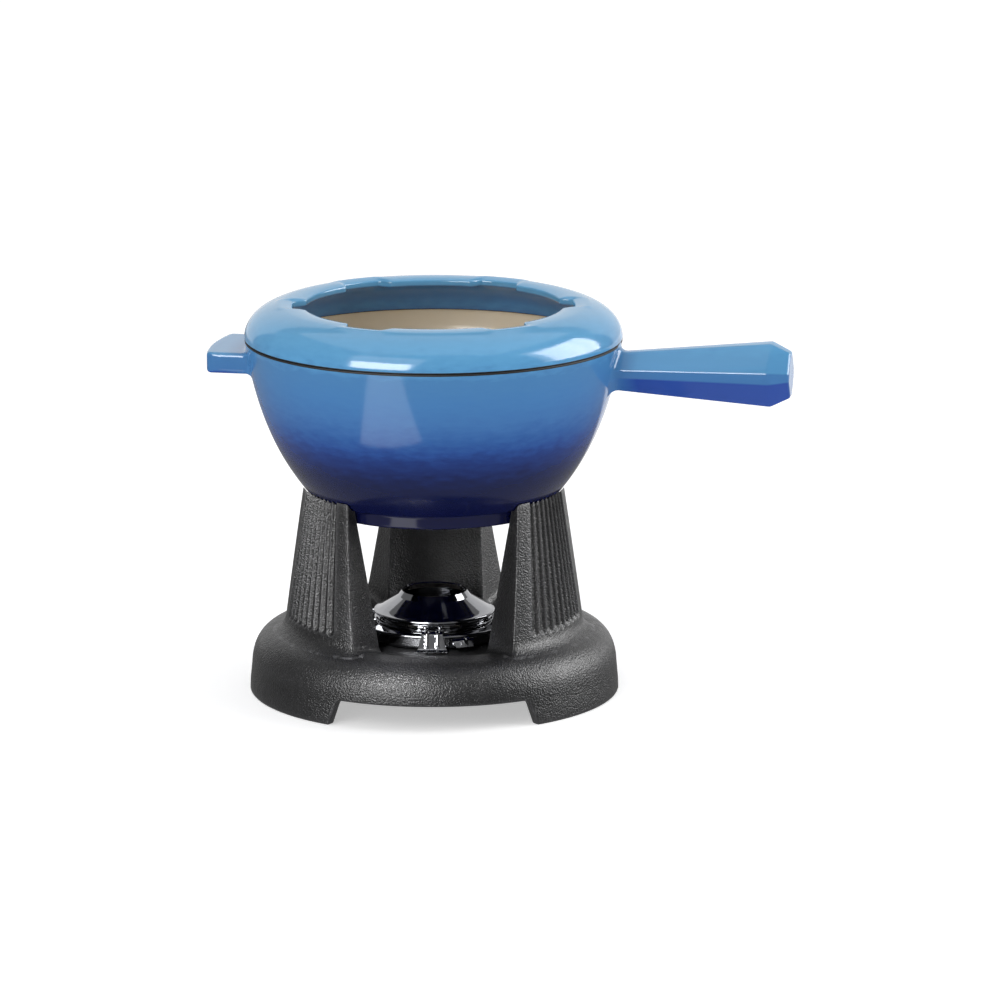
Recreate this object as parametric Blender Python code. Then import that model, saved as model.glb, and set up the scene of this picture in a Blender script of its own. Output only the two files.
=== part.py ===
"""Fondue pot set: enamelled iron pot and fork rest, iron stand, and a steel spirit burner.

The stand stands on its three feet at z = 0 and its centre line is vertical. The world origin is the middle
of the set's footprint on the table, so the centre line is a little to the left of it. The stand's rear leg is
on +Y, and the pot's long handle points to +X, turned a little towards -Y.
"""

import math

import bmesh
import bpy
from mathutils import Matrix, Vector

# ---------------------------------------------------------------- driving dimensions, millimetres and degrees
MM = 0.001
GAP = 0.4               # clearance that touching pieces keep
SHEET = 0.8             # thickness of the burner's pressed steel

AXIS_X = -38.2          # centre line of the stand, the pot and the burner
POT_TURN = -11.0        # handle's bearing from +X

# stand
BASE_R = 108.5          # bottom edge of the base
BASE_WALL = 6.0         # wall of the casting
CREST_R, CREST_Z = 84.0, 37.5
FLOOR_R, FLOOR_Z = 52.0, 31.3
LEG_BEARINGS = (90.0, 210.0, 330.0)
LEG_FOOT_Z = 30.9       # where a leg starts, inside the base's wall
LEG_TOP_Z = 123.0
LEG_OUT_FOOT, LEG_OUT_TOP = 88.8, 77.2
LEG_IN_FOOT, LEG_IN_TOP = 59.0, 71.6
LEG_HALF_FOOT, LEG_HALF_TOP = 29.0, 20.5      # half-angle of a leg
FLUTES = 9
FLUTE_DEPTH = 1.3
FLUTE_PITCH = 0.152     # part of the leg's half-angle
FLUTE_END_Z = 49.0      # flutes run out here
CUTOUT_HALF_LOW, CUTOUT_HALF_HIGH = 57.0, 53.5
CUTOUT_HEIGHT = 15.0
CUTOUT_CORNER = 4.0

# pot
POT_R = 110.0
RIM_Z = 209.3           # top of the pot's wall
FOOT_R = 69.0           # band under the bowl
FOOT_Z = 110.0
FOOT_BAND = 7.0         # width of the ring that the pot stands on
BOWL_END_R, BOWL_END_Z = 73.0, 118.6
POT_WALL = 4.8
GRIP_Z = 195.0          # mid height of the handle and the tab
HANDLE_END = 210.0
HANDLE_ROOT = 98.0
TAB_R, TAB_HALF, TAB_THICK = 132.0, 30.0, 12.2
TAB_ROOT_R = 96.0
TAB_CORNER = 5.0

# splatter guard
GUARD_Z = RIM_Z + GAP
GUARD_CREST_R, GUARD_CREST_Z = 82.0, 230.3
GUARD_WALL = 4.2
GUARD_SPIGOT = 3.4      # depth of the locating rim inside the pot
MOUTH_R = 75.5
NOTCH_R = 83.0
NOTCH_DIP = 1.6
NOTCHES = 6
NOTCH_FIRST = 2.0       # bearing of the first fork notch
NOTCH_HALF, NOTCH_RAMP = 8.0, 4.0

# burner
PAN_R, PAN_Z = 44.0, 41.0
CUP_R = 31.0
CUP_RIM_Z = 40.0
PAD_LOW, PAD_TOP = 34.2, 37.4
GAUZE_THICK = 0.5
COVER_R, COVER_Z = 35.5, 46.2
SHOULDER_R, SHOULDER_Z = 21.4, 55.2
THROAT_R, THROAT_Z = 19.1, 58.3
SKIRT_R = 31.8
SKIRT_BEAD = 1.1        # height of the bead along the skirt's lower edge
COVER_ROLL = 1.1        # radius of the cover's rolled rim
BAND_R = 33.1
RING_LOW = CUP_RIM_Z + GAP + SKIRT_BEAD + GAP
RING_FLANGE_R = 35.2
EAR_R, EAR_HALF = 39.6, 8.6
LEVER_LOW = RING_LOW + SHEET + GAP
VENTS = 8
VENT_HALF = 3.6         # half-width of a vent
VENT_LOW, VENT_HIGH = 42.2, 44.2
LEVER_BEARING = 269.0
LEVER_TIP_HALF, LEVER_NECK_HALF = 9.4, 6.0
TAB_BEARING = 291.0
PAN_TAB_HALF = 6.8
RIVET_R = 0.8
TAB_GRIP = 3.0          # tab rivets cross a curved, sloping wall
TAB_RIVET_SIDE, LEVER_RIVET_SIDE = 4.0, 4.2

FINE, MEDIUM, COARSE = 48, 40, 24      # segments of large, middling and small turned pieces


# ---------------------------------------------------------------- helpers
def bezier(p0, p1, p2, p3, count):
    """Points of a cubic curve, both ends included."""
    points = []
    for i in range(count + 1):
        t = i / count
        a, b, c, d = (1 - t) ** 3, 3 * t * (1 - t) ** 2, 3 * t * t * (1 - t), t ** 3
        points.append(tuple(a * p + b * q + c * r + d * s for p, q, r, s in zip(p0, p1, p2, p3)))
    return points


def arc(centre, radius, start, end, count):
    """Points of an arc from start to end degrees, both ends included."""
    angles = [math.radians(start + (end - start) * i / count) for i in range(count + 1)]
    return [(centre[0] + radius * math.cos(a), centre[1] + radius * math.sin(a)) for a in angles]


def polar(radius, bearing, height):
    """Point at a bearing in degrees round the centre line."""
    a = math.radians(bearing)
    return (radius * math.cos(a), radius * math.sin(a), height)


def mix(a, b, t):
    return a + (b - a) * t


def smooth_step(t):
    t = min(1.0, max(0.0, t))
    return t * t * (3 - 2 * t)


def finished(bm, name, material, parent, helper=False, sharp=35):
    """Close a bmesh into an object under its parent empty."""
    bmesh.ops.remove_doubles(bm, verts=bm.verts, dist=1e-6)
    bmesh.ops.recalc_face_normals(bm, faces=bm.faces)
    mesh = bpy.data.meshes.new(name)
    bm.to_mesh(mesh)
    bm.free()
    mesh.shade_smooth()
    mesh.set_sharp_from_angle(angle=math.radians(sharp))
    obj = bpy.data.objects.new(name, mesh)
    bpy.context.collection.objects.link(obj)
    obj.parent = parent
    if helper:
        obj.hide_render = True
        obj.display_type = "WIRE"
    else:
        mesh.materials.append(material)
    return obj


def turned(name, outline, segments, material, parent, helper=False):
    """Turn (radius, height) points round the centre line: a closed outline, or one from axis to axis."""
    bm = bmesh.new()
    verts = [bm.verts.new((r * MM, 0, z * MM)) for r, z in outline]
    pairs = list(zip(verts, verts[1:]))
    if outline[0][0] > 0:
        pairs.append((verts[-1], verts[0]))
    edges = [bm.edges.new(pair) for pair in pairs]
    bmesh.ops.spin(bm, geom=verts + edges, cent=(0, 0, 0), axis=(0, 0, 1),
                   angle=math.tau, steps=segments, use_merge=True)
    bmesh.ops.remove_doubles(bm, verts=bm.verts, dist=1e-6)
    bmesh.ops.dissolve_degenerate(bm, edges=bm.edges, dist=1e-7)
    return finished(bm, name, material, parent, helper)


def lofted(name, rings, material, parent, helper=False, sharp=35):
    """Skin a stack of rings with the same number of points, and cap both ends."""
    bm = bmesh.new()
    loops = [[bm.verts.new(Vector(p) * MM) for p in ring] for ring in rings]
    for low, high in zip(loops, loops[1:]):
        for i in range(len(low)):
            j = (i + 1) % len(low)
            bm.faces.new((low[i], low[j], high[j], high[i]))
    bm.faces.new(loops[0])
    bm.faces.new(loops[-1])
    return finished(bm, name, material, parent, helper, sharp)


def combine(obj, other, operation):
    """Add an exact Boolean with another object."""
    modifier = obj.modifiers.new(f"{operation.lower()} {other.name}", "BOOLEAN")
    modifier.operation = operation
    modifier.object = other
    modifier.solver = "EXACT"


def make_material(name, colour, roughness, metallic):
    material = bpy.data.materials.new(name)
    material.use_nodes = True
    shader = material.node_tree.nodes["Principled BSDF"]
    shader.inputs["Base Color"].default_value = (*colour, 1.0)
    shader.inputs["Roughness"].default_value = roughness
    shader.inputs["Metallic"].default_value = metallic
    return material


def empty(name, x, turn=0.0, parent=None):
    obj = bpy.data.objects.new(name, None)
    obj.location.x = x * MM
    obj.rotation_euler.z = math.radians(turn)
    obj.parent = parent
    bpy.context.collection.objects.link(obj)
    return obj


# ---------------------------------------------------------------- shapes that pieces share
def bowl_outside(count=11):
    """Outer curve of the bowl, from its rim down to where the foot band starts."""
    return bezier((POT_R, RIM_Z), (106.5, 184.0), (97.8, 146.5), (BOWL_END_R, BOWL_END_Z), count)


# ---------------------------------------------------------------- stand
def base_outline():
    """Domed base with an open underside: top first, then the inside back to the middle."""
    top = [(0, FLOOR_Z), (FLOOR_R, FLOOR_Z)]
    top += bezier((FLOOR_R + 4, FLOOR_Z + 0.2), (66, 33.5), (72, CREST_Z), (CREST_R, CREST_Z), 6)
    top += bezier((90, 37.3), (101, 36.0), (106.6, 29.0), (107.2, 16.0), 8)
    top += [(BASE_R - 0.3, 7.0), (BASE_R, 1.0), (BASE_R - 1.0, 0)]
    inner = BASE_R - BASE_WALL
    under = [(inner, 0), (inner - 0.6, 14.0)]
    under += bezier((inner - 1.2, 19.0), (99, 27.0), (94, 30.2), (CREST_R, CREST_Z - BASE_WALL - 1), 5)
    under += [(66, FLOOR_Z - 4.4), (FLOOR_R, FLOOR_Z - BASE_WALL), (0, FLOOR_Z - BASE_WALL)]
    return top + under


def leg_section(height):
    """Closed outline of a leg at one height, pointing to +X, with its flutes."""
    t = (height - LEG_FOOT_Z) / (LEG_TOP_Z - LEG_FOOT_Z)
    outer = mix(LEG_OUT_FOOT, LEG_OUT_TOP, t)
    inner = mix(LEG_IN_FOOT, LEG_IN_TOP, t)
    half = mix(LEG_HALF_FOOT, LEG_HALF_TOP, t)
    depth = FLUTE_DEPTH * smooth_step((height - FLUTE_END_Z) / 5.0)
    ring = []
    for i in range(-(FLUTES // 2), FLUTES // 2 + 1):
        for offset, cut in ((-0.35, 0.0), (0.0, depth), (0.35, 0.0)):
            ring.append((outer - cut, (i + offset) * FLUTE_PITCH * half))
    ring = [(outer, -half)] + ring + [(outer, half)]
    ring += [(inner, half * s) for s in (1.0, 0.33, -0.33, -1.0)]
    return ring


def leg(bearing, parent):
    """One tapering leg, taller than it ends up: the seat cutter shapes its top."""
    heights = (LEG_FOOT_Z, FLUTE_END_Z, FLUTE_END_Z + 2.5, FLUTE_END_Z + 5, LEG_TOP_Z + 4)
    rings = [[polar(r, bearing + a, z) for r, a in leg_section(z)] for z in heights]
    return lofted(f"leg_{bearing:.0f}", rings, None, parent, helper=True)


def seat_cutter(parent):
    """The bowl's outside with clearance, which leaves the seats on top of the legs."""
    clear = GAP + 0.15
    low = [(r + clear, z - clear) for r, z in bowl_outside() if z < 150]
    outline = [(0, low[0][1])] + low + [(FOOT_R + 1.5, FOOT_Z), (0, FOOT_Z)]
    return turned("seat_cutter", outline, FINE, None, parent, helper=True)


def cutout(bearing, parent):
    """Cutter for the arch between two feet."""
    corner = arc((CUTOUT_HALF_HIGH - CUTOUT_CORNER, CUTOUT_HEIGHT - CUTOUT_CORNER), CUTOUT_CORNER, 0, 90, 4)
    side = [(CUTOUT_HALF_LOW + 0.3, -2.0)] + corner
    outline = side + [(-x, z) for x, z in reversed(side)]
    turn = Matrix.Rotation(math.radians(bearing + 90), 3, "Z")
    rings = [[turn @ Vector((x, -depth, z)) for x, z in outline] for depth in (62.0, 125.0)]
    return lofted(f"cutout_{bearing:.0f}", rings, None, parent, helper=True)


def stand(parent, iron):
    body = turned("stand", base_outline(), FINE, iron, parent)
    for bearing in LEG_BEARINGS:
        combine(body, leg(bearing, parent), "UNION")
    combine(body, seat_cutter(parent), "DIFFERENCE")
    for bearing in LEG_BEARINGS:
        combine(body, cutout(bearing + 180, parent), "DIFFERENCE")
    return body


# ---------------------------------------------------------------- pot
def handle_section(half_width, half_height, top_flat, side_flat):
    """Eight-sided outline with narrow flats and wide slopes, as (across, up)."""
    quarter = [(half_width, side_flat), (top_flat, half_height)]
    right = [(x, -z) for x, z in reversed(quarter)] + quarter
    return right + [(-x, z) for x, z in reversed(right)]


def handle(parent):
    """Long grip along +X that flares to its chamfered end."""
    stations = (
        (HANDLE_ROOT, 9.6, 10.2, 3.0, 2.3, 193.3),
        (113.0, 9.8, 10.7, 3.2, 2.4, 193.6),
        (198.5, 16.4, 18.5, 5.2, 3.4, GRIP_Z),
        (204.0, 15.4, 17.2, 4.8, 3.2, GRIP_Z),
        (HANDLE_END, 11.5, 13.0, 3.6, 2.4, GRIP_Z),
    )
    rings = []
    for x, width, height, top_flat, side_flat, z in stations:
        outline = handle_section(width, height, top_flat, side_flat)
        rings.append([(x, y, z + up) for y, up in outline])
    return lofted("handle_helper", rings, None, parent, helper=True)


def tab(parent):
    """Short grip on -X: a slab whose end is an arc round the centre line."""
    edge = math.degrees(math.asin((TAB_HALF - TAB_CORNER) / (TAB_R - TAB_CORNER)))
    corner_x = math.sqrt((TAB_R - TAB_CORNER) ** 2 - (TAB_HALF - TAB_CORNER) ** 2)
    outline = [(TAB_ROOT_R, TAB_HALF)]
    outline += arc((corner_x, TAB_HALF - TAB_CORNER), TAB_CORNER, 90, edge, 4)
    outline += arc((0, 0), TAB_R, edge * 0.7, -edge * 0.7, 6)
    outline += [(x, -y) for x, y in reversed(outline[:6])]
    levels = ((-TAB_THICK / 2, 1.5), (1.5 - TAB_THICK / 2, 0), (TAB_THICK / 2 - 1.5, 0), (TAB_THICK / 2, 1.5))
    rings = []
    for up, inset in levels:
        shrink = (TAB_R - inset) / TAB_R
        rings.append([(-x * shrink, y * shrink, GRIP_Z + up) for x, y in outline])
    return lofted("tab_helper", rings, None, parent, helper=True)


def pot(parent, enamel):
    outside = [(0, RIM_Z)] + bowl_outside() + arc((FOOT_R + 2.6, 116.2), 2.6, 90, 180, 3)
    outside += [(FOOT_R, FOOT_Z + 1.2), (FOOT_R - 1.2, FOOT_Z), (FOOT_R - FOOT_BAND, FOOT_Z)]
    outside += [(FOOT_R - FOOT_BAND - 2, FOOT_Z + 1), (0, FOOT_Z + 1)]
    body = turned("pot", outside, FINE, enamel, parent)
    combine(body, handle(parent), "UNION")
    combine(body, tab(parent), "UNION")
    inner_rim = POT_R - POT_WALL
    hollow = [(0, RIM_Z + 5), (inner_rim, RIM_Z + 5), (inner_rim, RIM_Z - 4)]
    hollow += bezier((inner_rim - 0.6, 196.0), (101.5, 180.0), (92.5, 146.0), (68.0, 120.0), 8)
    hollow += [(62.0, 117.0), (54.0, 115.6), (0, 115.6)]
    combine(body, turned("pot_hollow", hollow, FINE, None, parent, helper=True), "DIFFERENCE")
    return body


# ---------------------------------------------------------------- splatter guard
def notch_share(bearing):
    """How far into a fork notch a bearing is, from 0 on the rim to 1 in the notch."""
    pitch = 360.0 / NOTCHES
    away = abs((bearing - NOTCH_FIRST + pitch / 2) % pitch - pitch / 2)
    return smooth_step((NOTCH_HALF + NOTCH_RAMP - away) / NOTCH_RAMP)


def guard_section(bearing):
    """Closed (radius, height) outline of the ring at one bearing, whose mouth follows the notches."""
    share = notch_share(bearing)
    mouth = mix(MOUTH_R, NOTCH_R, share)
    lip = GUARD_CREST_Z - 1.0 - NOTCH_DIP * share
    dome = bezier((POT_R, GUARD_Z), (POT_R, 217.5), (100.5, 224.5), (GUARD_CREST_R + 7, 228.8), 6)
    crest = [(mix(GUARD_CREST_R + 2, mouth + 3, 0.5), mix(GUARD_CREST_Z, lip, 0.4)), (mouth + 1.2, lip)]
    edge = [(mouth, lip - 1.2), (mouth, lip - GUARD_WALL + 1.2), (mouth + 1.2, lip - GUARD_WALL)]
    spigot_r = POT_R - POT_WALL - GAP
    inside = [(93.0, 221.4), (100.2, 216.0), (spigot_r - 3.4, GUARD_Z - 1)]
    low = GUARD_Z - GUARD_SPIGOT
    spigot = [(spigot_r - 3.0, low), (spigot_r, low), (spigot_r, GUARD_Z)]
    return dome + crest + edge + inside + spigot


def splatter_guard(parent, enamel):
    count = 72
    bm = bmesh.new()
    rings = []
    for i in range(count):
        bearing = 360.0 * i / count
        section = guard_section(bearing)
        rings.append([bm.verts.new(Vector(polar(r, bearing, z)) * MM) for r, z in section])
    for ring, after in zip(rings, rings[1:] + rings[:1]):
        for i in range(len(ring)):
            j = (i + 1) % len(ring)
            bm.faces.new((ring[i], ring[j], after[j], after[i]))
    return finished(bm, "splatter_guard", enamel, parent)


# ---------------------------------------------------------------- burner
def rivet(name, place, grip, steel, parent):
    """Rivet along its own +Z: domed head, shank through the grip, flat tail. place puts it in the burner."""
    outline = [(0, 1.3), (0.9, 1.1), (1.5, 0.35), (1.5, GAP), (RIVET_R, GAP), (RIVET_R, -grip - GAP)]
    outline += [(1.4, -grip - GAP), (1.4, -grip - 1.1), (0, -grip - 1.1)]
    obj = turned(name, outline, 10, steel, parent)
    obj.data.transform(place)
    return obj


def rivet_hole(name, place, parent):
    outline = [(0, 3.0), (RIVET_R + 0.3, 3.0), (RIVET_R + 0.3, -5.0), (0, -5.0)]
    obj = turned(name, outline, 10, None, parent, helper=True)
    obj.data.transform(place)
    return obj


def strip(name, stations, bearing, material, parent):
    """Sheet strip along (radius, height, half-width) stations, at one bearing."""
    points = [Vector((r, z)) for r, z, _ in stations]
    turn = Matrix.Rotation(math.radians(bearing), 3, "Z")
    rings = []
    for i, (r, z, half) in enumerate(stations):
        ahead = (points[min(i + 1, len(points) - 1)] - points[max(i - 1, 0)]).normalized()
        out = Vector((-ahead.y, ahead.x)) * SHEET
        low, high = Vector((r, z)), Vector((r, z)) + out
        ring = [(low.x, -half, low.y), (low.x, half, low.y), (high.x, half, high.y), (high.x, -half, high.y)]
        rings.append([turn @ Vector(p) for p in ring])
    return lofted(name, rings, material, parent)


def vent_cutter(name, inner, outer, parent):
    """Ring of rectangular cutters through a wall between two radii."""
    bm = bmesh.new()
    for i in range(VENTS):
        size = Matrix.Diagonal(((outer - inner) * MM, 2 * VENT_HALF * MM, (VENT_HIGH - VENT_LOW) * MM, 1))
        move = Matrix.Translation(Vector(((inner + outer) / 2, 0, (VENT_LOW + VENT_HIGH) / 2)) * MM)
        turn = Matrix.Rotation(math.tau * (i + 0.5) / VENTS, 4, "Z")
        bmesh.ops.create_cube(bm, size=1.0, matrix=turn @ move @ size)
    return finished(bm, name, None, parent, helper=True)


def burner_pan(parent, steel, holes):
    """Wide shallow dish with a rolled rim."""
    floor = FLOOR_Z + GAP
    outline = [(0, floor + SHEET), (38.5, floor + SHEET), (41.2, floor + 2.4), (42.4, PAN_Z - 2.2)]
    outline += arc((PAN_R - 0.2, PAN_Z - 0.9), 1.0, 180, -90, 6)
    outline += [(43.2, PAN_Z - 2.4), (42.2, floor + 1.9), (39.2, floor), (0, floor)]
    pan = turned("burner_pan", outline, MEDIUM, steel, parent)
    for hole in holes:
        combine(pan, hole, "DIFFERENCE")
    return pan


def pan_tab(parent, steel, holes):
    """Grip riveted to the pan's wall, folded over and down."""
    stations = ((43.6, 34.4, PAN_TAB_HALF), (44.0, 37.6, PAN_TAB_HALF), (45.4, 38.6, PAN_TAB_HALF),
                (47.2, 37.8, PAN_TAB_HALF - 0.4), (50.2, 34.9, PAN_TAB_HALF - 1.6))
    piece = strip("pan_tab", stations, TAB_BEARING, steel, parent)
    for hole in holes:
        combine(piece, hole, "DIFFERENCE")
    return piece


def fuel_cup(parent, steel):
    floor = FLOOR_Z + GAP + SHEET + GAP
    inner = CUP_R - SHEET
    outline = [(0, floor + SHEET), (inner - 1.6, floor + SHEET), (inner, floor + 2.4), (inner, CUP_RIM_Z)]
    outline += [(CUP_R + 3.0, CUP_RIM_Z), (CUP_R + 3.0, CUP_RIM_Z - SHEET), (CUP_R, CUP_RIM_Z - SHEET)]
    outline += [(CUP_R, floor + 2.0), (CUP_R - 2.0, floor), (0, floor)]
    turned("fuel_cup", outline, MEDIUM, steel, parent)


def cup_filling(parent, wadding, steel):
    """Absorbent pad, the gauze over it, and the snap ring that holds both down."""
    inner = CUP_R - SHEET
    pad = [(0, PAD_TOP), (inner - 1.4, PAD_TOP), (inner - GAP, PAD_TOP - 1.0), (inner - GAP, PAD_TOP - 1.4)]
    pad += [(inner - 2.4, PAD_LOW), (0, PAD_LOW)]
    turned("absorbent_pad", pad, COARSE, wadding, parent)
    gauze_low, gauze_high = PAD_TOP + GAP, PAD_TOP + GAP + GAUZE_THICK
    gauze = [(0, gauze_high), (inner - 0.5, gauze_high), (inner - 0.5, gauze_low), (0, gauze_low)]
    turned("wick_gauze", gauze, COARSE, steel, parent)
    turned("gauze_ring", arc((inner - GAP - 0.55, 39.2), 0.5, 0, 300, 5), COARSE, steel, parent)


def burner_cover(parent, steel):
    """Cone with a rolled rim above, a throat collar, and a vented skirt below that holds the regulator."""
    low = CUP_RIM_Z + GAP
    outer = [(THROAT_R, THROAT_Z), (SHOULDER_R, SHOULDER_Z), (33.4, COVER_Z + 1.0)]
    rim = arc((COVER_R - COVER_ROLL, COVER_Z), COVER_ROLL, 60, -90, 5)
    skirt = [(SKIRT_R, COVER_Z - COVER_ROLL), (SKIRT_R, low + SKIRT_BEAD)]
    skirt += [(SKIRT_R + 1.2, low + SKIRT_BEAD - 0.3), (SKIRT_R + 1.2, low)]
    inside = [(SKIRT_R - SHEET, low), (SKIRT_R - SHEET, COVER_Z + 0.1), (SHOULDER_R - 0.5, SHOULDER_Z - 0.9)]
    throat = [(THROAT_R - SHEET, THROAT_Z - 0.6)]
    cover = turned("burner_cover", outer + rim + skirt + inside + throat, MEDIUM, steel, parent)
    combine(cover, vent_cutter("cover_vents", SKIRT_R - 2, SKIRT_R + 0.2, parent), "DIFFERENCE")
    return cover


def regulator_ring(parent, steel, holes):
    """Vented band round the cover's skirt, with a flange and the ear that carries the lever."""
    low = RING_LOW
    top = COVER_Z - COVER_ROLL - GAP
    band = [(BAND_R - SHEET, top), (BAND_R, top), (BAND_R, low + SHEET)]
    flange = [(RING_FLANGE_R, low + SHEET), (RING_FLANGE_R, low), (BAND_R - SHEET, low)]
    ring = turned("regulator_ring", band + flange, MEDIUM, steel, parent)
    ear = []
    for z in (low, low + SHEET):
        outline = [polar(33.6, a, z) for a in range(-24, 25, 6)]
        outline.append(polar(RING_FLANGE_R, 24, z))
        outline += [(EAR_R, EAR_HALF, z), (EAR_R, -EAR_HALF, z)]
        outline.append(polar(RING_FLANGE_R, -24, z))
        turn = Matrix.Rotation(math.radians(LEVER_BEARING), 3, "Z")
        ear.append([turn @ Vector(p) for p in outline])
    combine(ring, lofted("regulator_ear", ear, None, parent, helper=True), "UNION")
    combine(ring, vent_cutter("ring_vents", BAND_R - 1.2, BAND_R + 0.6, parent), "DIFFERENCE")
    for hole in holes:
        combine(ring, hole, "DIFFERENCE")


def regulator_lever(parent, steel, holes):
    """Pressed tongue over the pan's rim, with a lipped end."""
    low, neck, tip = LEVER_LOW, LEVER_NECK_HALF, LEVER_TIP_HALF
    stations = ((35.9, low, neck + 2.0), (38.6, low, neck + 1.0), (41.4, low, neck), (45.4, low, neck),
                (46.6, low - 0.9, neck), (48.8, 34.4, tip - 1.0), (49.4, 33.4, tip - 0.6), (51.0, 32.7, tip))
    lever = strip("regulator_lever", stations, LEVER_BEARING, steel, parent)
    for hole in holes:
        combine(lever, hole, "DIFFERENCE")
    return lever


def lever_rivet_places(top):
    places = []
    for side in (-1, 1):
        spot = Vector((37.4, side * LEVER_RIVET_SIDE, top)) * MM
        places.append(Matrix.Rotation(math.radians(LEVER_BEARING), 4, "Z") @ Matrix.Translation(spot))
    return places


def tab_rivet_places():
    places = []
    for side in (-1, 1):
        spot = Vector((43.9, side * TAB_RIVET_SIDE, 35.9)) * MM
        turn = Matrix.Rotation(math.radians(TAB_BEARING), 4, "Z")
        places.append(turn @ Matrix.Translation(spot) @ Matrix.Rotation(math.radians(90), 4, "Y"))
    return places


def burner(parent, steel, wadding):
    tab_places = tab_rivet_places()
    tab_holes = [rivet_hole(f"tab_hole_{i}", place, parent) for i, place in enumerate(tab_places)]
    burner_pan(parent, steel, tab_holes)
    pan_tab(parent, steel, tab_holes)
    for i, place in enumerate(tab_places, 1):
        rivet(f"tab_rivet_{i}", place, TAB_GRIP, steel, parent)
    fuel_cup(parent, steel)
    cup_filling(parent, wadding, steel)
    burner_cover(parent, steel)
    lever_places = lever_rivet_places(LEVER_LOW + SHEET)
    lever_holes = [rivet_hole(f"lever_hole_{i}", place, parent) for i, place in enumerate(lever_places)]
    regulator_ring(parent, steel, lever_holes)
    regulator_lever(parent, steel, lever_holes)
    for i, place in enumerate(lever_places, 1):
        rivet(f"lever_rivet_{i}", place, 2 * SHEET + GAP, steel, parent)


def main():
    for obj in list(bpy.data.objects):
        bpy.data.objects.remove(obj, do_unlink=True)
    iron = make_material("cast iron, matt black", (0.012, 0.012, 0.013), 0.55, 0.0)
    blue = make_material("blue enamel", (0.11, 0.32, 0.60), 0.15, 0.0)
    steel = make_material("polished steel", (0.62, 0.62, 0.63), 0.08, 1.0)
    wadding = make_material("mineral wadding", (0.72, 0.70, 0.66), 0.95, 0.0)
    axis = empty("stand_axis", AXIS_X)
    pot_axis = empty("pot_axis", 0, POT_TURN, axis)
    stand(axis, iron)
    pot(pot_axis, blue)
    splatter_guard(axis, blue)
    burner(axis, steel, wadding)


main()
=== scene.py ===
import math

import bmesh
import bpy
import numpy as np
from mathutils import Matrix, Vector


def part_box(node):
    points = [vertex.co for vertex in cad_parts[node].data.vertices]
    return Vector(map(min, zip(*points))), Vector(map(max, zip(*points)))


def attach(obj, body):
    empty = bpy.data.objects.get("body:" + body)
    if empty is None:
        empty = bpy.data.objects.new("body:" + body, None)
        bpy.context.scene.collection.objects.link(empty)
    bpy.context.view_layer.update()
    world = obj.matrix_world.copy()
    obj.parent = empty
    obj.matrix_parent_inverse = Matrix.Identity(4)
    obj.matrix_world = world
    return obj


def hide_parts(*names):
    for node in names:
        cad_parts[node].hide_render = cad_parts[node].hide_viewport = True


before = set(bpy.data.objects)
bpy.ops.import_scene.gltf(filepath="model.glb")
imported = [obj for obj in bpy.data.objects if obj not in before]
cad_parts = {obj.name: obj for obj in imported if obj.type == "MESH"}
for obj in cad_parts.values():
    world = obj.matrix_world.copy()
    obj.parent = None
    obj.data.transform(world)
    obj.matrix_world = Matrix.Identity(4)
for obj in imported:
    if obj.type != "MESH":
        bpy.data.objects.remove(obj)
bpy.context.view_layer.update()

# ---------------------------------------------------------------- sizes, millimetres and degrees
# Everything is drawn round the set's centre line and moved to its place in the frame by PLACE or POT_PLACE.
MM = 0.001
GAP = 0.4                    # clearance between touching pieces
SHEET = 0.8                  # pressed steel
guard_low, guard_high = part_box("splatter_guard")
AXIS = Vector(((guard_low.x + guard_high.x) / 2, (guard_low.y + guard_high.y) / 2, 0))
POT_TURN = -11.0             # bearing of the long handle
PLACE = Matrix.Translation(AXIS)
POT_PLACE = PLACE @ Matrix.Rotation(math.radians(POT_TURN), 4, "Z")

BASE_R, BASE_WALL = 108.5, 6.0
CREST_R, CREST_Z = 84.0, 37.5
FLOOR_R, FLOOR_Z = 52.0, 31.3
ARCH_HALF_LOW, ARCH_HALF_HIGH, ARCH_HEIGHT = 64.0, 58.4, 15.0    # widths along the wall
WALL_TOP_Z = 22.0            # under this the wall follows the arches
EDGE_ROUND = 1.2             # softened edges of the casting
LEG_BEARINGS = (90.0, 210.0, 330.0)
LEG_FOOT_Z, LEG_TOP_Z = 30.9, 123.0
LEG_OUT, LEG_IN, LEG_HALF = (88.8, 77.2), (59.0, 71.6), (29.0, 20.5)
FLUTES, FLUTE_DEPTH, FLUTE_PITCH, FLUTE_SHARE, FLUTE_END_Z = 9, 1.9, 0.152, 0.42, 46.0

POT_R, POT_WALL = 110.0, 4.8
FOOT_R, FOOT_Z = 69.0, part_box("pot")[0].z / MM
RIM_Z = guard_low.z / MM + 3.0       # the guard's spigot reaches this far into the pot
BOWL_END_R, BOWL_END_Z = 73.0, 118.6
GRIP_Z = 195.0
HANDLE_ROOT, HANDLE_SHOULDER, HANDLE_END, HANDLE_TAPER = 98.0, 198.5, 210.0, 0.70
TAB_R, TAB_HALF, TAB_THICK, TAB_CORNER = 132.0, 30.0, 12.2, 5.0

GUARD_Z = RIM_Z + GAP
GUARD_CREST_R, GUARD_CREST_Z = 82.0, guard_high.z / MM
MOUTH_R, NOTCH_R, NOTCH_DIP, NOTCHES, NOTCH_FIRST = 75.5, 82.0, 0.2, 6, 2.0
NOTCH_HALF, NOTCH_RAMP, NOTCH_FADE_R = 8.0, 4.0, 95.0

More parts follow.
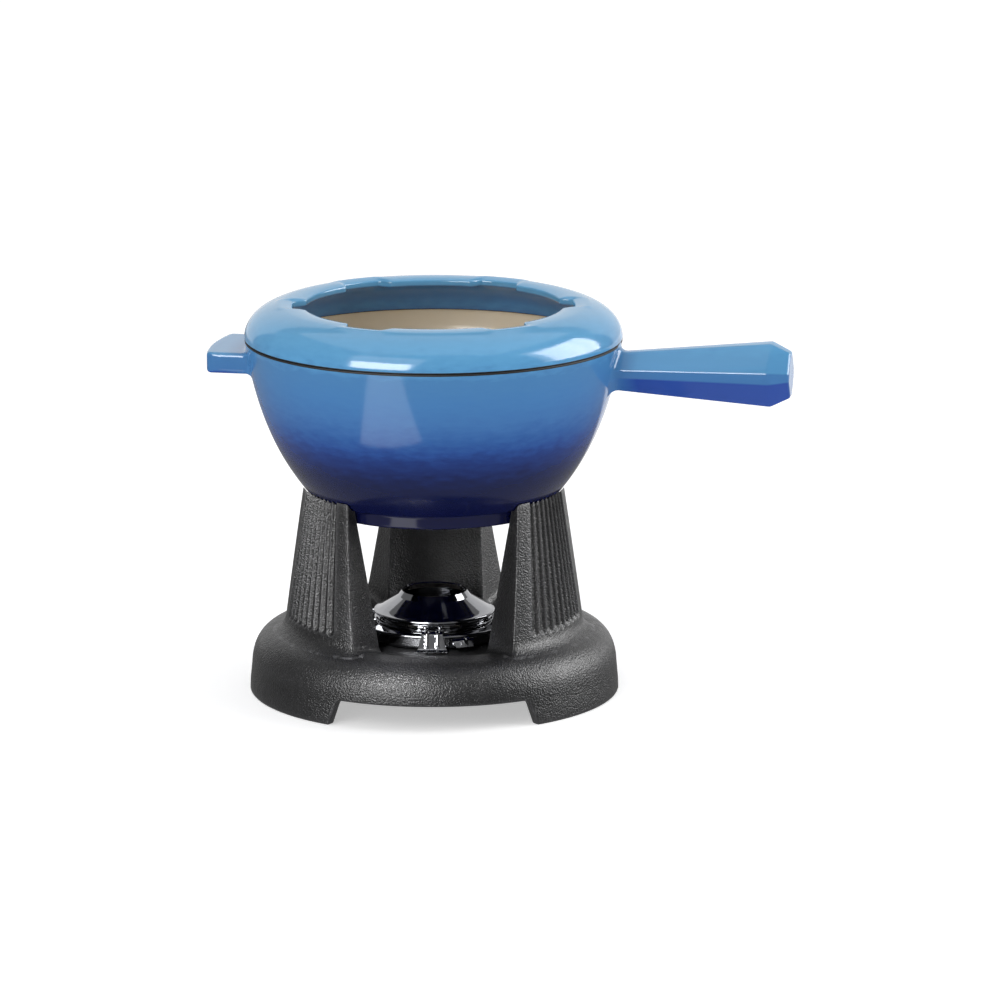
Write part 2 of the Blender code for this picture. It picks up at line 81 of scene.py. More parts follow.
PAN_R, PAN_Z, CUP_R, CUP_RIM_Z = 44.0, 41.0, 31.0, 40.0
COVER_R, COVER_Z, SHOULDER_R, SHOULDER_Z, THROAT_R, THROAT_Z = 35.5, 46.2, 21.4, 55.2, 19.1, 58.3
SKIRT_R, BAND_R, VENTS, VENT_HALF, VENT_LOW, VENT_HIGH = 31.8, 33.1, 8, 3.6, 42.2, 44.2
COVER_ROLL, SKIRT_BEAD = 1.1, 1.1        # rolled rim of the cover, bead along the skirt's lower edge
RING_LOW = CUP_RIM_Z + GAP + SKIRT_BEAD + GAP
RING_FLANGE_R, EAR_ROOT_R, EAR_SPREAD, EAR_TUCK = 35.2, 33.6, 24.0, 2.6
LEVER_LOW = RING_LOW + SHEET + GAP
LEVER_BEARING, LEVER_TIP_HALF, LEVER_NECK_HALF = 269.0, 9.4, 6.0
TAB_BEARING, PAN_TAB_HALF = 291.0, 6.8
RIVET_R, RIVET_HEAD_R, RIVET_HEAD_RISE = 0.8, 1.5, 1.1
TAB_RIVET_SIDE, LEVER_RIVET_SIDE, TAB_GRIP = 4.0, 4.2, 3.0
GAUZE_R, GAUZE_Z, GAUZE_PITCH, GAUZE_WIRE = 29.5, 38.05, 1.5, 0.19


# ---------------------------------------------------------------- drawing helpers
def mix(a, b, t):
    return a + (b - a) * t


def bezier(p0, p1, p2, p3, count):
    """Points of a cubic curve, both ends included."""
    points = []
    for i in range(count + 1):
        t = i / count
        a, b, c, d = (1 - t) ** 3, 3 * t * (1 - t) ** 2, 3 * t * t * (1 - t), t ** 3
        points.append(tuple(a * p + b * q + c * r + d * s for p, q, r, s in zip(p0, p1, p2, p3)))
    return points


def arc(centre, radius, start, end, count):
    """Points of an arc from start to end degrees, both ends included."""
    angles = [math.radians(mix(start, end, i / count)) for i in range(count + 1)]
    return [(centre[0] + radius * math.cos(a), centre[1] + radius * math.sin(a)) for a in angles]


def rounded(points, radii, closed=False, steps=5):
    """Round the corners of an outline, by one radius or by one for each point."""
    count = len(points)
    radii = radii if isinstance(radii, (list, tuple)) else [radii] * count
    result = []
    for i, point in enumerate(points):
        here = Vector(point)
        if radii[i] == 0 or (not closed and i in (0, count - 1)):
            result.append(tuple(here))
            continue
        back = Vector(points[i - 1]) - here
        ahead = Vector(points[(i + 1) % count]) - here
        cut = radii[i] / math.tan(back.angle(ahead) / 2)
        cut = min(cut, back.length * 0.48, ahead.length * 0.48)
        first, last = here + back.normalized() * cut, here + ahead.normalized() * cut
        for k in range(steps + 1):
            t = k / steps
            result.append(tuple(first * (1 - t) ** 2 + here * 2 * t * (1 - t) + last * t * t))
    return result


def evenly(points, step):
    """Split the stretches of an outline that are longer than a step."""
    result = [tuple(points[0])]
    for a, b in zip(points, points[1:]):
        parts = max(1, math.ceil(math.dist(a, b) / step))
        result += [tuple(mix(p, q, k / parts) for p, q in zip(a, b)) for k in range(1, parts + 1)]
    return result


def around(outline, segments):
    """Rows of points for (radius, height) pairs turned round the centre line; a pole is one point."""
    angles = [math.tau * i / segments for i in range(segments)]
    return [[(0, 0, z)] if r < 1e-6 else [(r * math.cos(a), r * math.sin(a), z) for a in angles]
            for r, z in outline]


def skin(rows, ring=False, kinds=None):
    """Mesh a stack of rows, each of them a closed loop or one pole point.

    kinds numbers the bands' finishes.
    """
    bm = bmesh.new()
    loops = [[bm.verts.new(Vector(p) * MM) for p in row] for row in rows]
    pairs = list(zip(loops, loops[1:])) + ([(loops[-1], loops[0])] if ring else [])
    for band, (low, high) in enumerate(pairs):
        count = max(len(low), len(high))
        for i in range(count):
            j = (i + 1) % count
            corners = [low[i % len(low)], low[j % len(low)], high[j % len(high)], high[i % len(high)]]
            face = bm.faces.new(list(dict.fromkeys(corners)))
            face.material_index = kinds[band] if kinds else 0
    return bm


def add_cap(bm, ring, across, level):
    """Close a loop with a grid whose points lie on a surface.

    across is the number of steps on its first side.
    """
    ring = np.array(ring)
    deep = len(ring) // 2 - across
    near, far = ring[:across + 1], ring[across + deep:2 * across + deep + 1][::-1]
    right = ring[across:across + deep + 1]
    left = np.vstack([ring[2 * across + deep:], ring[:1]])[::-1]
    rows = []
    for j in range(deep + 1):
        v = j / deep
        row = []
        for i in range(across + 1):
            u = i / across
            edges = (1 - v) * near[i] + v * far[i] + (1 - u) * left[j] + u * right[j]
            corners = (1 - u) * ((1 - v) * near[0] + v * far[0]) + u * ((1 - v) * near[-1] + v * far[-1])
            row.append(edges - corners)
        rows.append(row)
    flat = np.array(rows)
    heights = level(flat.reshape(-1, 2)).reshape(flat.shape[:2])
    verts = [[bm.verts.new(Vector((*flat[j, i], heights[j, i])) * MM) for i in range(across + 1)]
             for j in range(deep + 1)]
    for j in range(deep):
        for i in range(across):
            bm.faces.new((verts[j][i], verts[j][i + 1], verts[j + 1][i + 1], verts[j + 1][i]))


def outward(section):
    """Outward unit normals of a closed loop of points, given anticlockwise."""
    along = np.roll(section, -1, 0) - np.roll(section, 1, 0)
    normal = np.stack([along[:, 1], -along[:, 0]], 1)
    return normal / np.linalg.norm(normal, axis=1, keepdims=True)


def limb(shape, start, end, guess, sink, flare, edge, spans, across):
    """Loft that grows out of one surface with a fillet and ends on another with a rounded edge.

    shape gives each column's place in the section at its level; start and end give the two surfaces' levels.
    """
    rows = []
    level = guess
    for share in (-1, 0, 0.02, 0.08, 0.2, 0.4, 0.68, 1.0):
        widen = flare * (1 - np.sqrt(1 - (1 - max(share, 0)) ** 2))
        for _ in range(8):
            section = shape(level)
            section = section + outward(section) * widen[:, None]
            level = start(section) + (flare * share if share >= 0 else -sink)
        rows.append((section, level))
    foot_level = level
    top = []
    for share in (1.0, 0.6, 0.3, 0.1, 0.0):
        inset = edge * (1 - math.sqrt(1 - (1 - share) ** 2))
        for _ in range(8):
            section = shape(level)
            section = section - outward(section) * inset
            level = end(section) - edge * share
        top.append((section, level))
    top_level = top[0][1]
    for t in spans[1:-1]:
        level = mix(foot_level, top_level, t)
        rows.append((shape(level), level))
    rows += top
    bm = skin([[(*p, z) for p, z in zip(section, level)] for section, level in rows])
    add_cap(bm, rows[0][0], across, lambda p: start(p) - sink)
    add_cap(bm, rows[-1][0], across, end)
    return bm


def to_object(bm, name, materials, place=PLACE, crease=32):
    """Close a bmesh into an object at the origin, with its place in its mesh."""
    bmesh.ops.transform(bm, matrix=place, verts=bm.verts)
    bmesh.ops.remove_doubles(bm, verts=bm.verts, dist=2e-6)
    bmesh.ops.recalc_face_normals(bm, faces=bm.faces)
    if bm.calc_volume(signed=True) < 0:
        bmesh.ops.reverse_faces(bm, faces=bm.faces)
    mesh = bpy.data.meshes.new(name)
    bm.to_mesh(mesh)
    bm.free()
    for material in materials:
        mesh.materials.append(material)
    mesh.shade_smooth()
    mesh.set_sharp_from_angle(angle=math.radians(crease))
    obj = bpy.data.objects.new(name, mesh)
    bpy.context.collection.objects.link(obj)
    return obj


def bake(obj, crease=32):
    """Turn an object's modifiers into its plain mesh."""
    depsgraph = bpy.context.evaluated_depsgraph_get()
    mesh = bpy.data.meshes.new_from_object(obj.evaluated_get(depsgraph), depsgraph=depsgraph)
    obj.modifiers.clear()
    obj.data = mesh
    mesh.shade_smooth()
    mesh.set_sharp_from_angle(angle=math.radians(crease))


def combine(obj, others, operation, solver="EXACT"):
    """Join other solids to an object or cut them out of it, and drop them."""
    for other in others:
        boolean = obj.modifiers.new("boolean", "BOOLEAN")
        boolean.operation = operation
        boolean.object = other
        boolean.solver = solver
    bake(obj)
    for other in others:
        bpy.data.objects.remove(other, do_unlink=True)


def settle(obj, body, slot, *nodes):
    """Hand a finished piece to its body, in place of the nodes that it stands for."""
    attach(obj, body)
    if nodes:
        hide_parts(*nodes)
    return obj


def add(tree, kind, inputs=None, **settings):
    """Add a node with its settings, and set its inputs or link them where a socket is given."""
    node = tree.nodes.new(kind)
    for name, value in settings.items():
        setattr(node, name, value)
    for name, value in (inputs or {}).items():
        if isinstance(value, bpy.types.NodeSocket):
            tree.links.new(value, node.inputs[name])
        else:
            node.inputs[name].default_value = value
    return node


# ---------------------------------------------------------------- finishes
def linear(code):
    """sRGB hex to linear RGBA."""
    channels = [int(code[i:i + 2], 16) / 255 for i in (0, 2, 4)]
    return (*[c / 12.92 if c <= 0.04045 else ((c + 0.055) / 1.055) ** 2.4 for c in channels], 1.0)


def new_material(name, **values):
    """Principled material with its constant values set on the shader's own sockets."""
    material = bpy.data.materials.new(name)
    material.use_nodes = True
    shader = material.node_tree.nodes["Principled BSDF"]
    for socket, value in values.items():
        shader.inputs[socket.replace("_", " ")].default_value = value
    return material, material.node_tree, shader


def fired_blue_enamel():
    """Vitreous enamel sprayed pale over deep blue and fired: a glassy skin whose colour sinks downwards, with
    painted light and painted shade on some faces.
    """
    material, tree, shader = new_material("fired_blue_enamel", Roughness=0.11, IOR=1.5)
    place = add(tree, "ShaderNodeTexCoord")
    split = add(tree, "ShaderNodeSeparateXYZ", {0: place.outputs["Object"]})
    # the two sprays meet in a mottled band: flecks about 3 mm high and 9 mm long
    squash = add(tree, "ShaderNodeMapping", {0: place.outputs["Object"], "Scale": (1, 1, 3)})
    flecks = add(tree, "ShaderNodeTexNoise", {"Vector": squash.outputs[0], "Scale": 110, "Detail": 4})
    shift = add(tree, "ShaderNodeMath", {0: flecks.outputs[0], 1: 0.5}, operation="SUBTRACT")
    height = add(tree, "ShaderNodeMath", {0: shift.outputs[0], 1: 0.012, 2: split.outputs["Z"]},
                 operation="MULTIPLY_ADD")
    share = add(tree, "ShaderNodeMapRange", {0: height.outputs[0], 1: FOOT_Z * MM, 2: GUARD_CREST_Z * MM})
    ramp = add(tree, "ShaderNodeValToRGB", {0: share.outputs[0]})
    # the fade from deep navy below to pale blue above is the enamel's own colour; the step from 0.79 to 0.86,
    # where the guard begins, is partly painted light that lightens the guard's upward-facing front against the
    # pot wall below it
    stops = ((0.0, "0d1136"), (0.03, "0d1139"), (0.13, "0d133a"), (0.22, "0c163f"), (0.27, "0e1c4c"),
             (0.32, "132861"), (0.377, "1a3676"), (0.425, "23498d"), (0.475, "2d5a9b"), (0.575, "3e70ab"),
             (0.675, "4379b1"), (0.79, "487fb2"), (0.86, "5a9ccc"), (0.94, "66aad8"), (1.0, "62a4d0"))
    ramp.color_ramp.elements[0].color = linear(stops[0][1])
    ramp.color_ramp.elements[1].color = linear(stops[-1][1])
    for at, code in stops[1:-1]:
        ramp.color_ramp.elements.new(at).color = linear(code)
    # painted shade: the undersides of the grips and the downward-facing inside of the guard are painted a darker
    # blue, and painted light: the grips' upward-facing tops are painted a paler blue
    facing = add(tree, "ShaderNodeSeparateXYZ", {0: place.outputs["Normal"]})
    under = add(tree, "ShaderNodeMapRange", {0: facing.outputs["Z"], 1: 0.1, 2: -0.55},
                interpolation_type="SMOOTHSTEP")
    flat = add(tree, "ShaderNodeVectorMath", {0: place.outputs["Object"], 1: AXIS}, operation="SUBTRACT")
    level = add(tree, "ShaderNodeVectorMath", {0: flat.outputs[0], 1: (1, 1, 0)}, operation="MULTIPLY")
    away = add(tree, "ShaderNodeVectorMath", {0: level.outputs[0]}, operation="LENGTH")
    on_grip = add(tree, "ShaderNodeMapRange", {0: away.outputs["Value"], 1: 0.108, 2: 0.122})
    # painted shade mask for the guard's inside, above the pot's rim and within its outer wall
    above = add(tree, "ShaderNodeMapRange", {0: split.outputs["Z"], 1: 0.2, 2: 0.203, 4: 0.55})
    within = add(tree, "ShaderNodeMath", {0: away.outputs["Value"], 1: 0.1053}, operation="LESS_THAN")
    guard_inside_shade = add(tree, "ShaderNodeMath", {0: above.outputs[0], 1: within.outputs[0]}, operation="MULTIPLY")
    hidden = add(tree, "ShaderNodeMath", {0: on_grip.outputs[0], 1: guard_inside_shade.outputs[0]}, operation="MAXIMUM")
    # painted shade: the darker blue's share on faces turned down
    both = add(tree, "ShaderNodeMath", {0: under.outputs[0], 1: hidden.outputs[0]}, operation="MULTIPLY")
    # painted highlight: grip faces turned up are mixed towards the paler blue 5ea2d1
    over = add(tree, "ShaderNodeMapRange", {0: facing.outputs["Z"], 1: 0.1, 2: 0.6, 4: 0.7})
    grip_top_highlight = add(tree, "ShaderNodeMath", {0: over.outputs[0], 1: on_grip.outputs[0]}, operation="MULTIPLY")
    pale = add(tree, "ShaderNodeMix", {0: grip_top_highlight.outputs[0], 6: ramp.outputs[0], 7: linear("5ea2d1")},
               data_type="RGBA")
    # painted shade: mix towards the darker blue 2c4c9c
    colour = add(tree, "ShaderNodeMix", {0: both.outputs[0], 6: pale.outputs[2], 7: linear("2c4c9c")},
                 data_type="RGBA")
    tree.links.new(colour.outputs[2], shader.inputs["Base Color"])
    # orange peel of the fired coat, about 5 mm across
    peel = add(tree, "ShaderNodeTexNoise", {"Vector": place.outputs["Object"], "Scale": 190, "Detail": 2})
    bump = add(tree, "ShaderNodeBump", {"Height": peel.outputs[0], "Strength": 0.12, "Distance": 0.0001})
    tree.links.new(bump.outputs[0], shader.inputs["Normal"])
    return material


def sand_enamel():
    """Smooth cooking enamel poured inside the pot: a warm sand colour with a satin gloss."""
    material, tree, shader = new_material("sand_enamel", Roughness=0.22, IOR=1.5)
    place = add(tree, "ShaderNodeTexCoord")
    cloud = add(tree, "ShaderNodeTexNoise", {"Vector": place.outputs["Object"], "Scale": 60, "Detail": 3})
    colour = add(tree, "ShaderNodeMix", {0: cloud.outputs[0], 6: linear("efdfc4"), 7: linear("f5e8d1")},
                 data_type="RGBA")
    tree.links.new(colour.outputs[2], shader.inputs["Base Color"])
    peel = add(tree, "ShaderNodeTexNoise", {"Vector": place.outputs["Object"], "Scale": 220})
    bump = add(tree, "ShaderNodeBump", {"Height": peel.outputs[0], "Strength": 0.2, "Distance": 0.0001})
    tree.links.new(bump.outputs[0], shader.inputs["Normal"])
    return material


def bare_rim_iron():
    """Ground iron edge with a matt black ground coat: the dark line between pot and guard."""
    material, tree, shader = new_material("bare_rim_iron", Roughness=0.6)
    place = add(tree, "ShaderNodeTexCoord")
    grit = add(tree, "ShaderNodeTexNoise", {"Vector": place.outputs["Object"], "Scale": 900, "Detail": 3})
    colour = add(tree, "ShaderNodeMix", {0: grit.outputs[0], 6: linear("050505"), 7: linear("161413")},
                 data_type="RGBA")
    tree.links.new(colour.outputs[2], shader.inputs["Base Color"])
    bump = add(tree, "ShaderNodeBump", {"Height": grit.outputs[0], "Strength": 0.6, "Distance": 0.0002})
    tree.links.new(bump.outputs[0], shader.inputs["Normal"])
    return material


def sand_cast_iron():
    """Cast iron, sand-cast and coated matt black: sandy grain that sparkles where light grazes it."""
    material, tree, shader = new_material("sand_cast_iron", IOR=1.5)
    place = add(tree, "ShaderNodeTexCoord")
    # moulding sand is 0.3 to 0.6 mm; it is drawn near 1 mm so that it shows
    grain = add(tree, "ShaderNodeTexNoise",
                {"Vector": place.outputs["Object"], "Scale": 1000, "Detail": 1, "Roughness": 0.6})
    waves = add(tree, "ShaderNodeTexNoise", {"Vector": place.outputs["Object"], "Scale": 210, "Detail": 3})
    height = add(tree, "ShaderNodeMath", {0: waves.outputs[0], 1: 0.25, 2: grain.outputs[0]},
                 operation="MULTIPLY_ADD")
    tint = add(tree, "ShaderNodeMapRange", {0: grain.outputs[0], 1: 0.35, 2: 0.7})
    colour = add(tree, "ShaderNodeMix", {0: tint.outputs[0], 6: linear("0d0d0e"), 7: linear("1c1c1e")},
                 data_type="RGBA")
    # painted highlight: the ridges of the flutes and the edges of the legs are painted grey where the surface is
    # convex, and the grooves keep the plain dark colour
    bend = add(tree, "ShaderNodeNewGeometry")
    ridge_highlight = add(tree, "ShaderNodeMapRange", {0: bend.outputs["Pointiness"], 1: 0.5, 2: 0.56})
    # painted highlight mixed in as grey on the convex ridges
    ridge_highlighted = add(tree, "ShaderNodeMix", {0: ridge_highlight.outputs[0], 6: colour.outputs[2], 7: linear("505052")},
               data_type="RGBA")
    tree.links.new(ridge_highlighted.outputs[2], shader.inputs["Base Color"])
    rough = add(tree, "ShaderNodeMapRange", {0: waves.outputs[0], 1: 0.3, 2: 0.7, 3: 0.3, 4: 0.42})
    tree.links.new(rough.outputs[0], shader.inputs["Roughness"])
    bump = add(tree, "ShaderNodeBump", {"Height": height.outputs[0], "Strength": 1.0, "Distance": 0.0005})
    tree.links.new(bump.outputs[0], shader.inputs["Normal"])
    return material


def polished_steel():
    """Stainless steel, pressed and mirror-polished: hard reflections with faint drawing marks."""
    material, tree, shader = new_material("polished_steel", Metallic=1.0)
    place = add(tree, "ShaderNodeTexCoord")
    marks = add(tree, "ShaderNodeTexNoise", {"Vector": place.outputs["Object"], "Scale": 160, "Detail": 4})
    tone = add(tree, "ShaderNodeMix", {0: marks.outputs[0], 6: linear("8a8b8e"), 7: linear("a4a5a9")},
               data_type="RGBA")
    tree.links.new(tone.outputs[2], shader.inputs["Base Color"])
    rough = add(tree, "ShaderNodeMapRange", {0: marks.outputs[0], 1: 0.3, 2: 0.7, 3: 0.05, 4: 0.1})
    tree.links.new(rough.outputs[0], shader.inputs["Roughness"])
    dents = add(tree, "ShaderNodeTexNoise", {"Vector": place.outputs["Object"], "Scale": 90})
    bump = add(tree, "ShaderNodeBump", {"Height": dents.outputs[0], "Strength": 0.15, "Distance": 0.0002})
    tree.links.new(bump.outputs[0], shader.inputs["Normal"])
    return material


def woven_steel_wire():
    """Drawn stainless wire, woven and annealed: duller than the pressings, slightly straw coloured."""
    material, tree, shader = new_material("woven_steel_wire", Metallic=1.0)
    place = add(tree, "ShaderNodeTexCoord")
    scale = add(tree, "ShaderNodeTexNoise", {"Vector": place.outputs["Object"], "Scale": 400, "Detail": 3})
    tone = add(tree, "ShaderNodeMix", {0: scale.outputs[0], 6: linear("8f8b84"), 7: linear("b8b4ac")},
               data_type="RGBA")
    tree.links.new(tone.outputs[2], shader.inputs["Base Color"])
    rough = add(tree, "ShaderNodeMapRange", {0: scale.outputs[0], 3: 0.25, 4: 0.42})
    tree.links.new(rough.outputs[0], shader.inputs["Roughness"])
    return material


def mineral_wadding():
    """Felted mineral fibre, pressed into the cup: chalky, matt and fuzzy."""
    material, tree, shader = new_material("mineral_wadding", Roughness=0.95)
    place = add(tree, "ShaderNodeTexCoord")
    fibre = add(tree, "ShaderNodeTexNoise",
                {"Vector": place.outputs["Object"], "Scale": 700, "Detail": 6, "Distortion": 1.5})
    colour = add(tree, "ShaderNodeMix", {0: fibre.outputs[0], 6: linear("b9b3a6"), 7: linear("e4dfd4")},
                 data_type="RGBA")
    tree.links.new(colour.outputs[2], shader.inputs["Base Color"])
    bump = add(tree, "ShaderNodeBump", {"Height": fibre.outputs[0], "Strength": 0.8, "Distance": 0.0006})
    tree.links.new(bump.outputs[0], shader.inputs["Normal"])
    return material


# ---------------------------------------------------------------- stand
def base_curves():
    """Upper profile out to the wall, the wall down to the table, and the underside back to the middle."""
    top = evenly([(0, FLOOR_Z), (FLOOR_R, FLOOR_Z)], 8)
    top += bezier((FLOOR_R + 4, FLOOR_Z + 0.2), (66, 33.5), (72, CREST_Z), (CREST_R, CREST_Z), 22)
    shoulder = bezier((90, 37.3), (101, 36.0), (106.6, 29.0), (107.2, 16.0), 40)
    wall = shoulder + [(BASE_R - 0.3, 7.0), (BASE_R, 1.0), (BASE_R, -3.0)]
    inner = BASE_R - BASE_WALL
    inside = [(inner, -3.0), (inner, 0.0), (inner - 0.6, 14.0)]
    inside += bezier((inner - 1.2, 19.0), (99, 27.0), (94, 30.2), (CREST_R, CREST_Z - BASE_WALL - 1), 14)
    under = [(66, FLOOR_Z - 4.4), (FLOOR_R, FLOOR_Z - BASE_WALL), (0, FLOOR_Z - BASE_WALL)]
    return top, wall, inside, evenly(rounded([inside[-1]] + under, 12), 8)[1:]


def base_height(section):
    """Level of the base's upper surface at plan points."""
    top, wall, _, _ = base_curves()
    curve = np.array([p for p in top + wall if p[1] > 16])
    return np.interp(np.hypot(section[:, 0], section[:, 1]), curve[:, 0], curve[:, 1])


def arch_edge():
    """Lower edge of a third of the base: a foot, the arch and the next foot, as (length along, height)."""
    third = math.radians(60) * BASE_R
    half = [(0, ARCH_HEIGHT), (ARCH_HALF_HIGH, ARCH_HEIGHT), (ARCH_HALF_LOW, 0), (third, 0)]
    half = evenly(rounded(half, [0, 4.0, 1.4, 0], steps=7), 2.6)
    return [(-x, z) for x, z in reversed(half[1:])] + half[:-1]


def stand_base():
    """Domed casting whose wall opens in three arches."""
    top, wall, inside, under = base_curves()
    edge = []
    for bearing in LEG_BEARINGS:
        shift = math.radians(bearing + 180) * BASE_R
        edge += [(x + shift, z) for x, z in arch_edge()]
    edge = np.array(edge)
    total = math.tau * BASE_R
    ahead, behind = np.roll(edge, -1, 0), np.roll(edge, 1, 0)
    along = ahead - behind
    along[:, 0] = (along[:, 0] + total / 2) % total - total / 2
    into = np.stack([-along[:, 1], along[:, 0]], 1)
    into /= np.linalg.norm(into, axis=1, keepdims=True)
    outer, inner = np.array(wall[::-1]), np.array(inside)

    def row(points, radius):
        angle = points[:, 0] / BASE_R
        return list(zip(radius * np.cos(angle), radius * np.sin(angle), points[:, 1]))

    def wall_rows(curve, side):
        """Rows from the lower edge up one face of the wall: side is 1 outside and -1 inside."""
        rows = []
        for turn in range(0, 91, 18):
            lift = EDGE_ROUND * (1 - math.cos(math.radians(turn)))
            inset = EDGE_ROUND * (1 - math.sin(math.radians(turn)))
            points = edge + into * lift
            rows.append(row(points, np.interp(points[:, 1], curve[:, 1], curve[:, 0]) - side * inset))
        foot = edge + into * EDGE_ROUND
        upper = np.stack([edge[:, 0], np.full(len(edge), WALL_TOP_Z)], 1)
        for k in range(1, 9):
            points = mix(foot, upper, k / 8)
            rows.append(row(points, np.interp(points[:, 1], curve[:, 1], curve[:, 0])))
        return rows

    def level_row(radius, z):
        if radius < 1e-6:
            return [(0, 0, z)]
        return row(np.stack([edge[:, 0], np.full(len(edge), z)], 1), np.full(len(edge), radius))

    rows = [level_row(r, z) for r, z in top + [p for p in wall if p[1] > WALL_TOP_Z + 1]]
    rows += wall_rows(outer, 1)[::-1]
    rows += wall_rows(inner, -1)
    rows += [level_row(r, z) for r, z in [p for p in inside if p[1] > WALL_TOP_Z + 1] + under]
    return skin(rows)


def leg_columns():
    """Outline of a leg as shares of its depth and half-angle, with its rounded corners in millimetres."""
    margin = np.linspace(FLUTES * FLUTE_PITCH / 2, 0.93, 5)[1:-1]
    fluted = np.linspace(-FLUTES / 2, FLUTES / 2, FLUTES * 10 + 1) * FLUTE_PITCH
    face = np.concatenate([-margin[::-1], fluted, margin])
    side = np.linspace(0.25, 0.75, 7)
    turns = np.radians((45, 60, 75, 90))
    columns = []

    def corner(depth, share, angles):
        for a in angles:
            back = EDGE_ROUND * (1 - math.sin(a)) * (-1 if depth == 1 else 1)
            columns.append((depth, share, back, -share * EDGE_ROUND * (1 - math.cos(a))))

    corner(1, -1, turns)
    columns.extend((1, s, 0, 0) for s in face)
    corner(1, 1, turns[::-1])
    across = len(columns) - 1
    corner(1, 1, np.radians((30, 15, 0)))
    columns.extend((1 - s, 1, 0, 0) for s in side)
    corner(0, 1, np.radians((0, 15, 30, 45, 60, 75, 90)))
    columns.extend((0, -s, 0, 0) for s in face)
    corner(0, -1, np.radians((90, 75, 60, 45, 30, 15, 0)))
    columns.extend((s, -1, 0, 0) for s in side)
    corner(1, -1, np.radians((0, 15, 30)))
    return np.array(columns), across


def seat_height(section):
    """Level of the seats: the bowl's outside less its clearance."""
    clear = 0.3
    curve = np.array([(r + clear, z - clear) for r, z in bowl_outside() if z < 150][::-1])
    return np.interp(np.hypot(section[:, 0], section[:, 1]), curve[:, 0], curve[:, 1])


def stand_leg(bearing):
    """One tapering fluted leg, with a sweep into the base."""
    columns, across = leg_columns()
    depth, share, back, sideways = columns.T
    turn = math.radians(bearing)

    def shape(level):
        t = (level - LEG_FOOT_Z) / (LEG_TOP_Z - LEG_FOOT_Z)
        outer, inner, half = (mix(low, high, t) for low, high in (LEG_OUT, LEG_IN, LEG_HALF))
        radius = mix(inner, outer, depth) + back
        nearest = np.clip(np.round(share / FLUTE_PITCH), -(FLUTES // 2), FLUTES // 2)
        width = FLUTE_SHARE * FLUTE_PITCH * np.radians(half) * outer
        off = (share / FLUTE_PITCH - nearest) / FLUTE_SHARE
        end = np.maximum(0, (FLUTE_END_Z + width - level) / width)
        groove = np.maximum(0, 1 - off ** 2 - end ** 2) ** 0.6
        radius = radius - FLUTE_DEPTH * groove * (depth == 1) * (back == 0)
        angle = turn + np.radians(half) * share + sideways / radius
        return np.stack([radius * np.cos(angle), radius * np.sin(angle)], 1)

    guess = np.full(len(columns), CREST_Z)
    flare = np.where(depth == 1, 7.0, 3.5)
    for _ in range(4):
        flare = (np.roll(flare, 1) + 2 * flare + np.roll(flare, -1)) / 4
    spans = np.concatenate([np.linspace(0, 0.17, 16), np.linspace(0.17, 1, 26)[1:]])
    return limb(shape, base_height, seat_height, guess, 0.6, flare, 0.4, spans, across)


def make_stand(iron):
    body = to_object(stand_base(), "stand_casting", [iron])
    legs = [to_object(stand_leg(bearing), f"leg_{bearing:.0f}", [iron]) for bearing in LEG_BEARINGS]
    combine(body, legs, "UNION", "MANIFOLD")
    settle(body, "stand", "cast_iron", "stand")


# ---------------------------------------------------------------- pot
def bowl_outside(count=48):
    """Outer curve of the bowl, from its rim down to where the foot band starts."""
    return bezier((POT_R, RIM_Z), (106.5, 184.0), (97.8, 146.5), (BOWL_END_R, BOWL_END_Z), count)


def bowl_radius(height):
    curve = np.array(bowl_outside()[::-1])
    return np.interp(height, curve[:, 1], curve[:, 0])


def bowl_reach(section):
    """Distance from the centre line to the bowl's outside along the grips, at (across, up) points."""
    return np.sqrt(bowl_radius(section[:, 1]) ** 2 - section[:, 0] ** 2)


def grip_place(bm, direction):
    """Lay a limb drawn along +Z down along +X or -X of the pot."""
    for vert in bm.verts:
        across, up, out = vert.co
        vert.co = (direction * out, direction * across, up)
    return bm


def handle_outline(half_width, half_height, top_flat, side_flat, z):
    """Eight-sided section with narrow flats and wide slopes, its corners softened."""
    corners = [(-top_flat, -half_height), (top_flat, -half_height), (half_width, -side_flat),
               (half_width, side_flat), (top_flat, half_height), (-top_flat, half_height),
               (-half_width, side_flat), (-half_width, -side_flat)]
    loop = rounded(corners, 2.2, closed=True, steps=6)
    loop = evenly(loop + loop[:1], 1000)[:-1]
    return np.array([(x, z + up) for x, up in loop])


def handle_limb():
    """Long octagonal grip that flares to its chamfered end."""
    root = handle_outline(9.6, 10.2, 3.0, 2.3, 193.3)
    shoulder = handle_outline(16.4, 18.5, 5.2, 3.4, GRIP_Z)
    middle = np.array((0, GRIP_Z))

    def shape(level):
        t = np.clip((level - HANDLE_ROOT) / (HANDLE_SHOULDER - HANDLE_ROOT), 0, 1)[:, None]
        past = np.maximum(0, level - HANDLE_SHOULDER + 1.2)
        slope = (1 - HANDLE_TAPER) / (HANDLE_END - HANDLE_SHOULDER)
        taper = slope * np.where(past < 2.4, past ** 2 / 4.8, past - 1.2)
        return middle + (mix(root, shoulder, t) - middle) * (1 - taper)[:, None]

    def end(section):
        return np.full(len(section), HANDLE_END)

    count = len(root)
    long_part = (HANDLE_SHOULDER - 6 - POT_R - 5) / (HANDLE_END - POT_R - 7)
    spans = np.concatenate([np.linspace(0, long_part, 26), np.linspace(long_part, 1, 16)[1:]])
    flare = np.full(count, 5.0)
    bm = limb(shape, bowl_reach, end, np.full(count, POT_R), 1.5, flare, 1.2, spans, count // 4)
    return grip_place(bm, 1)


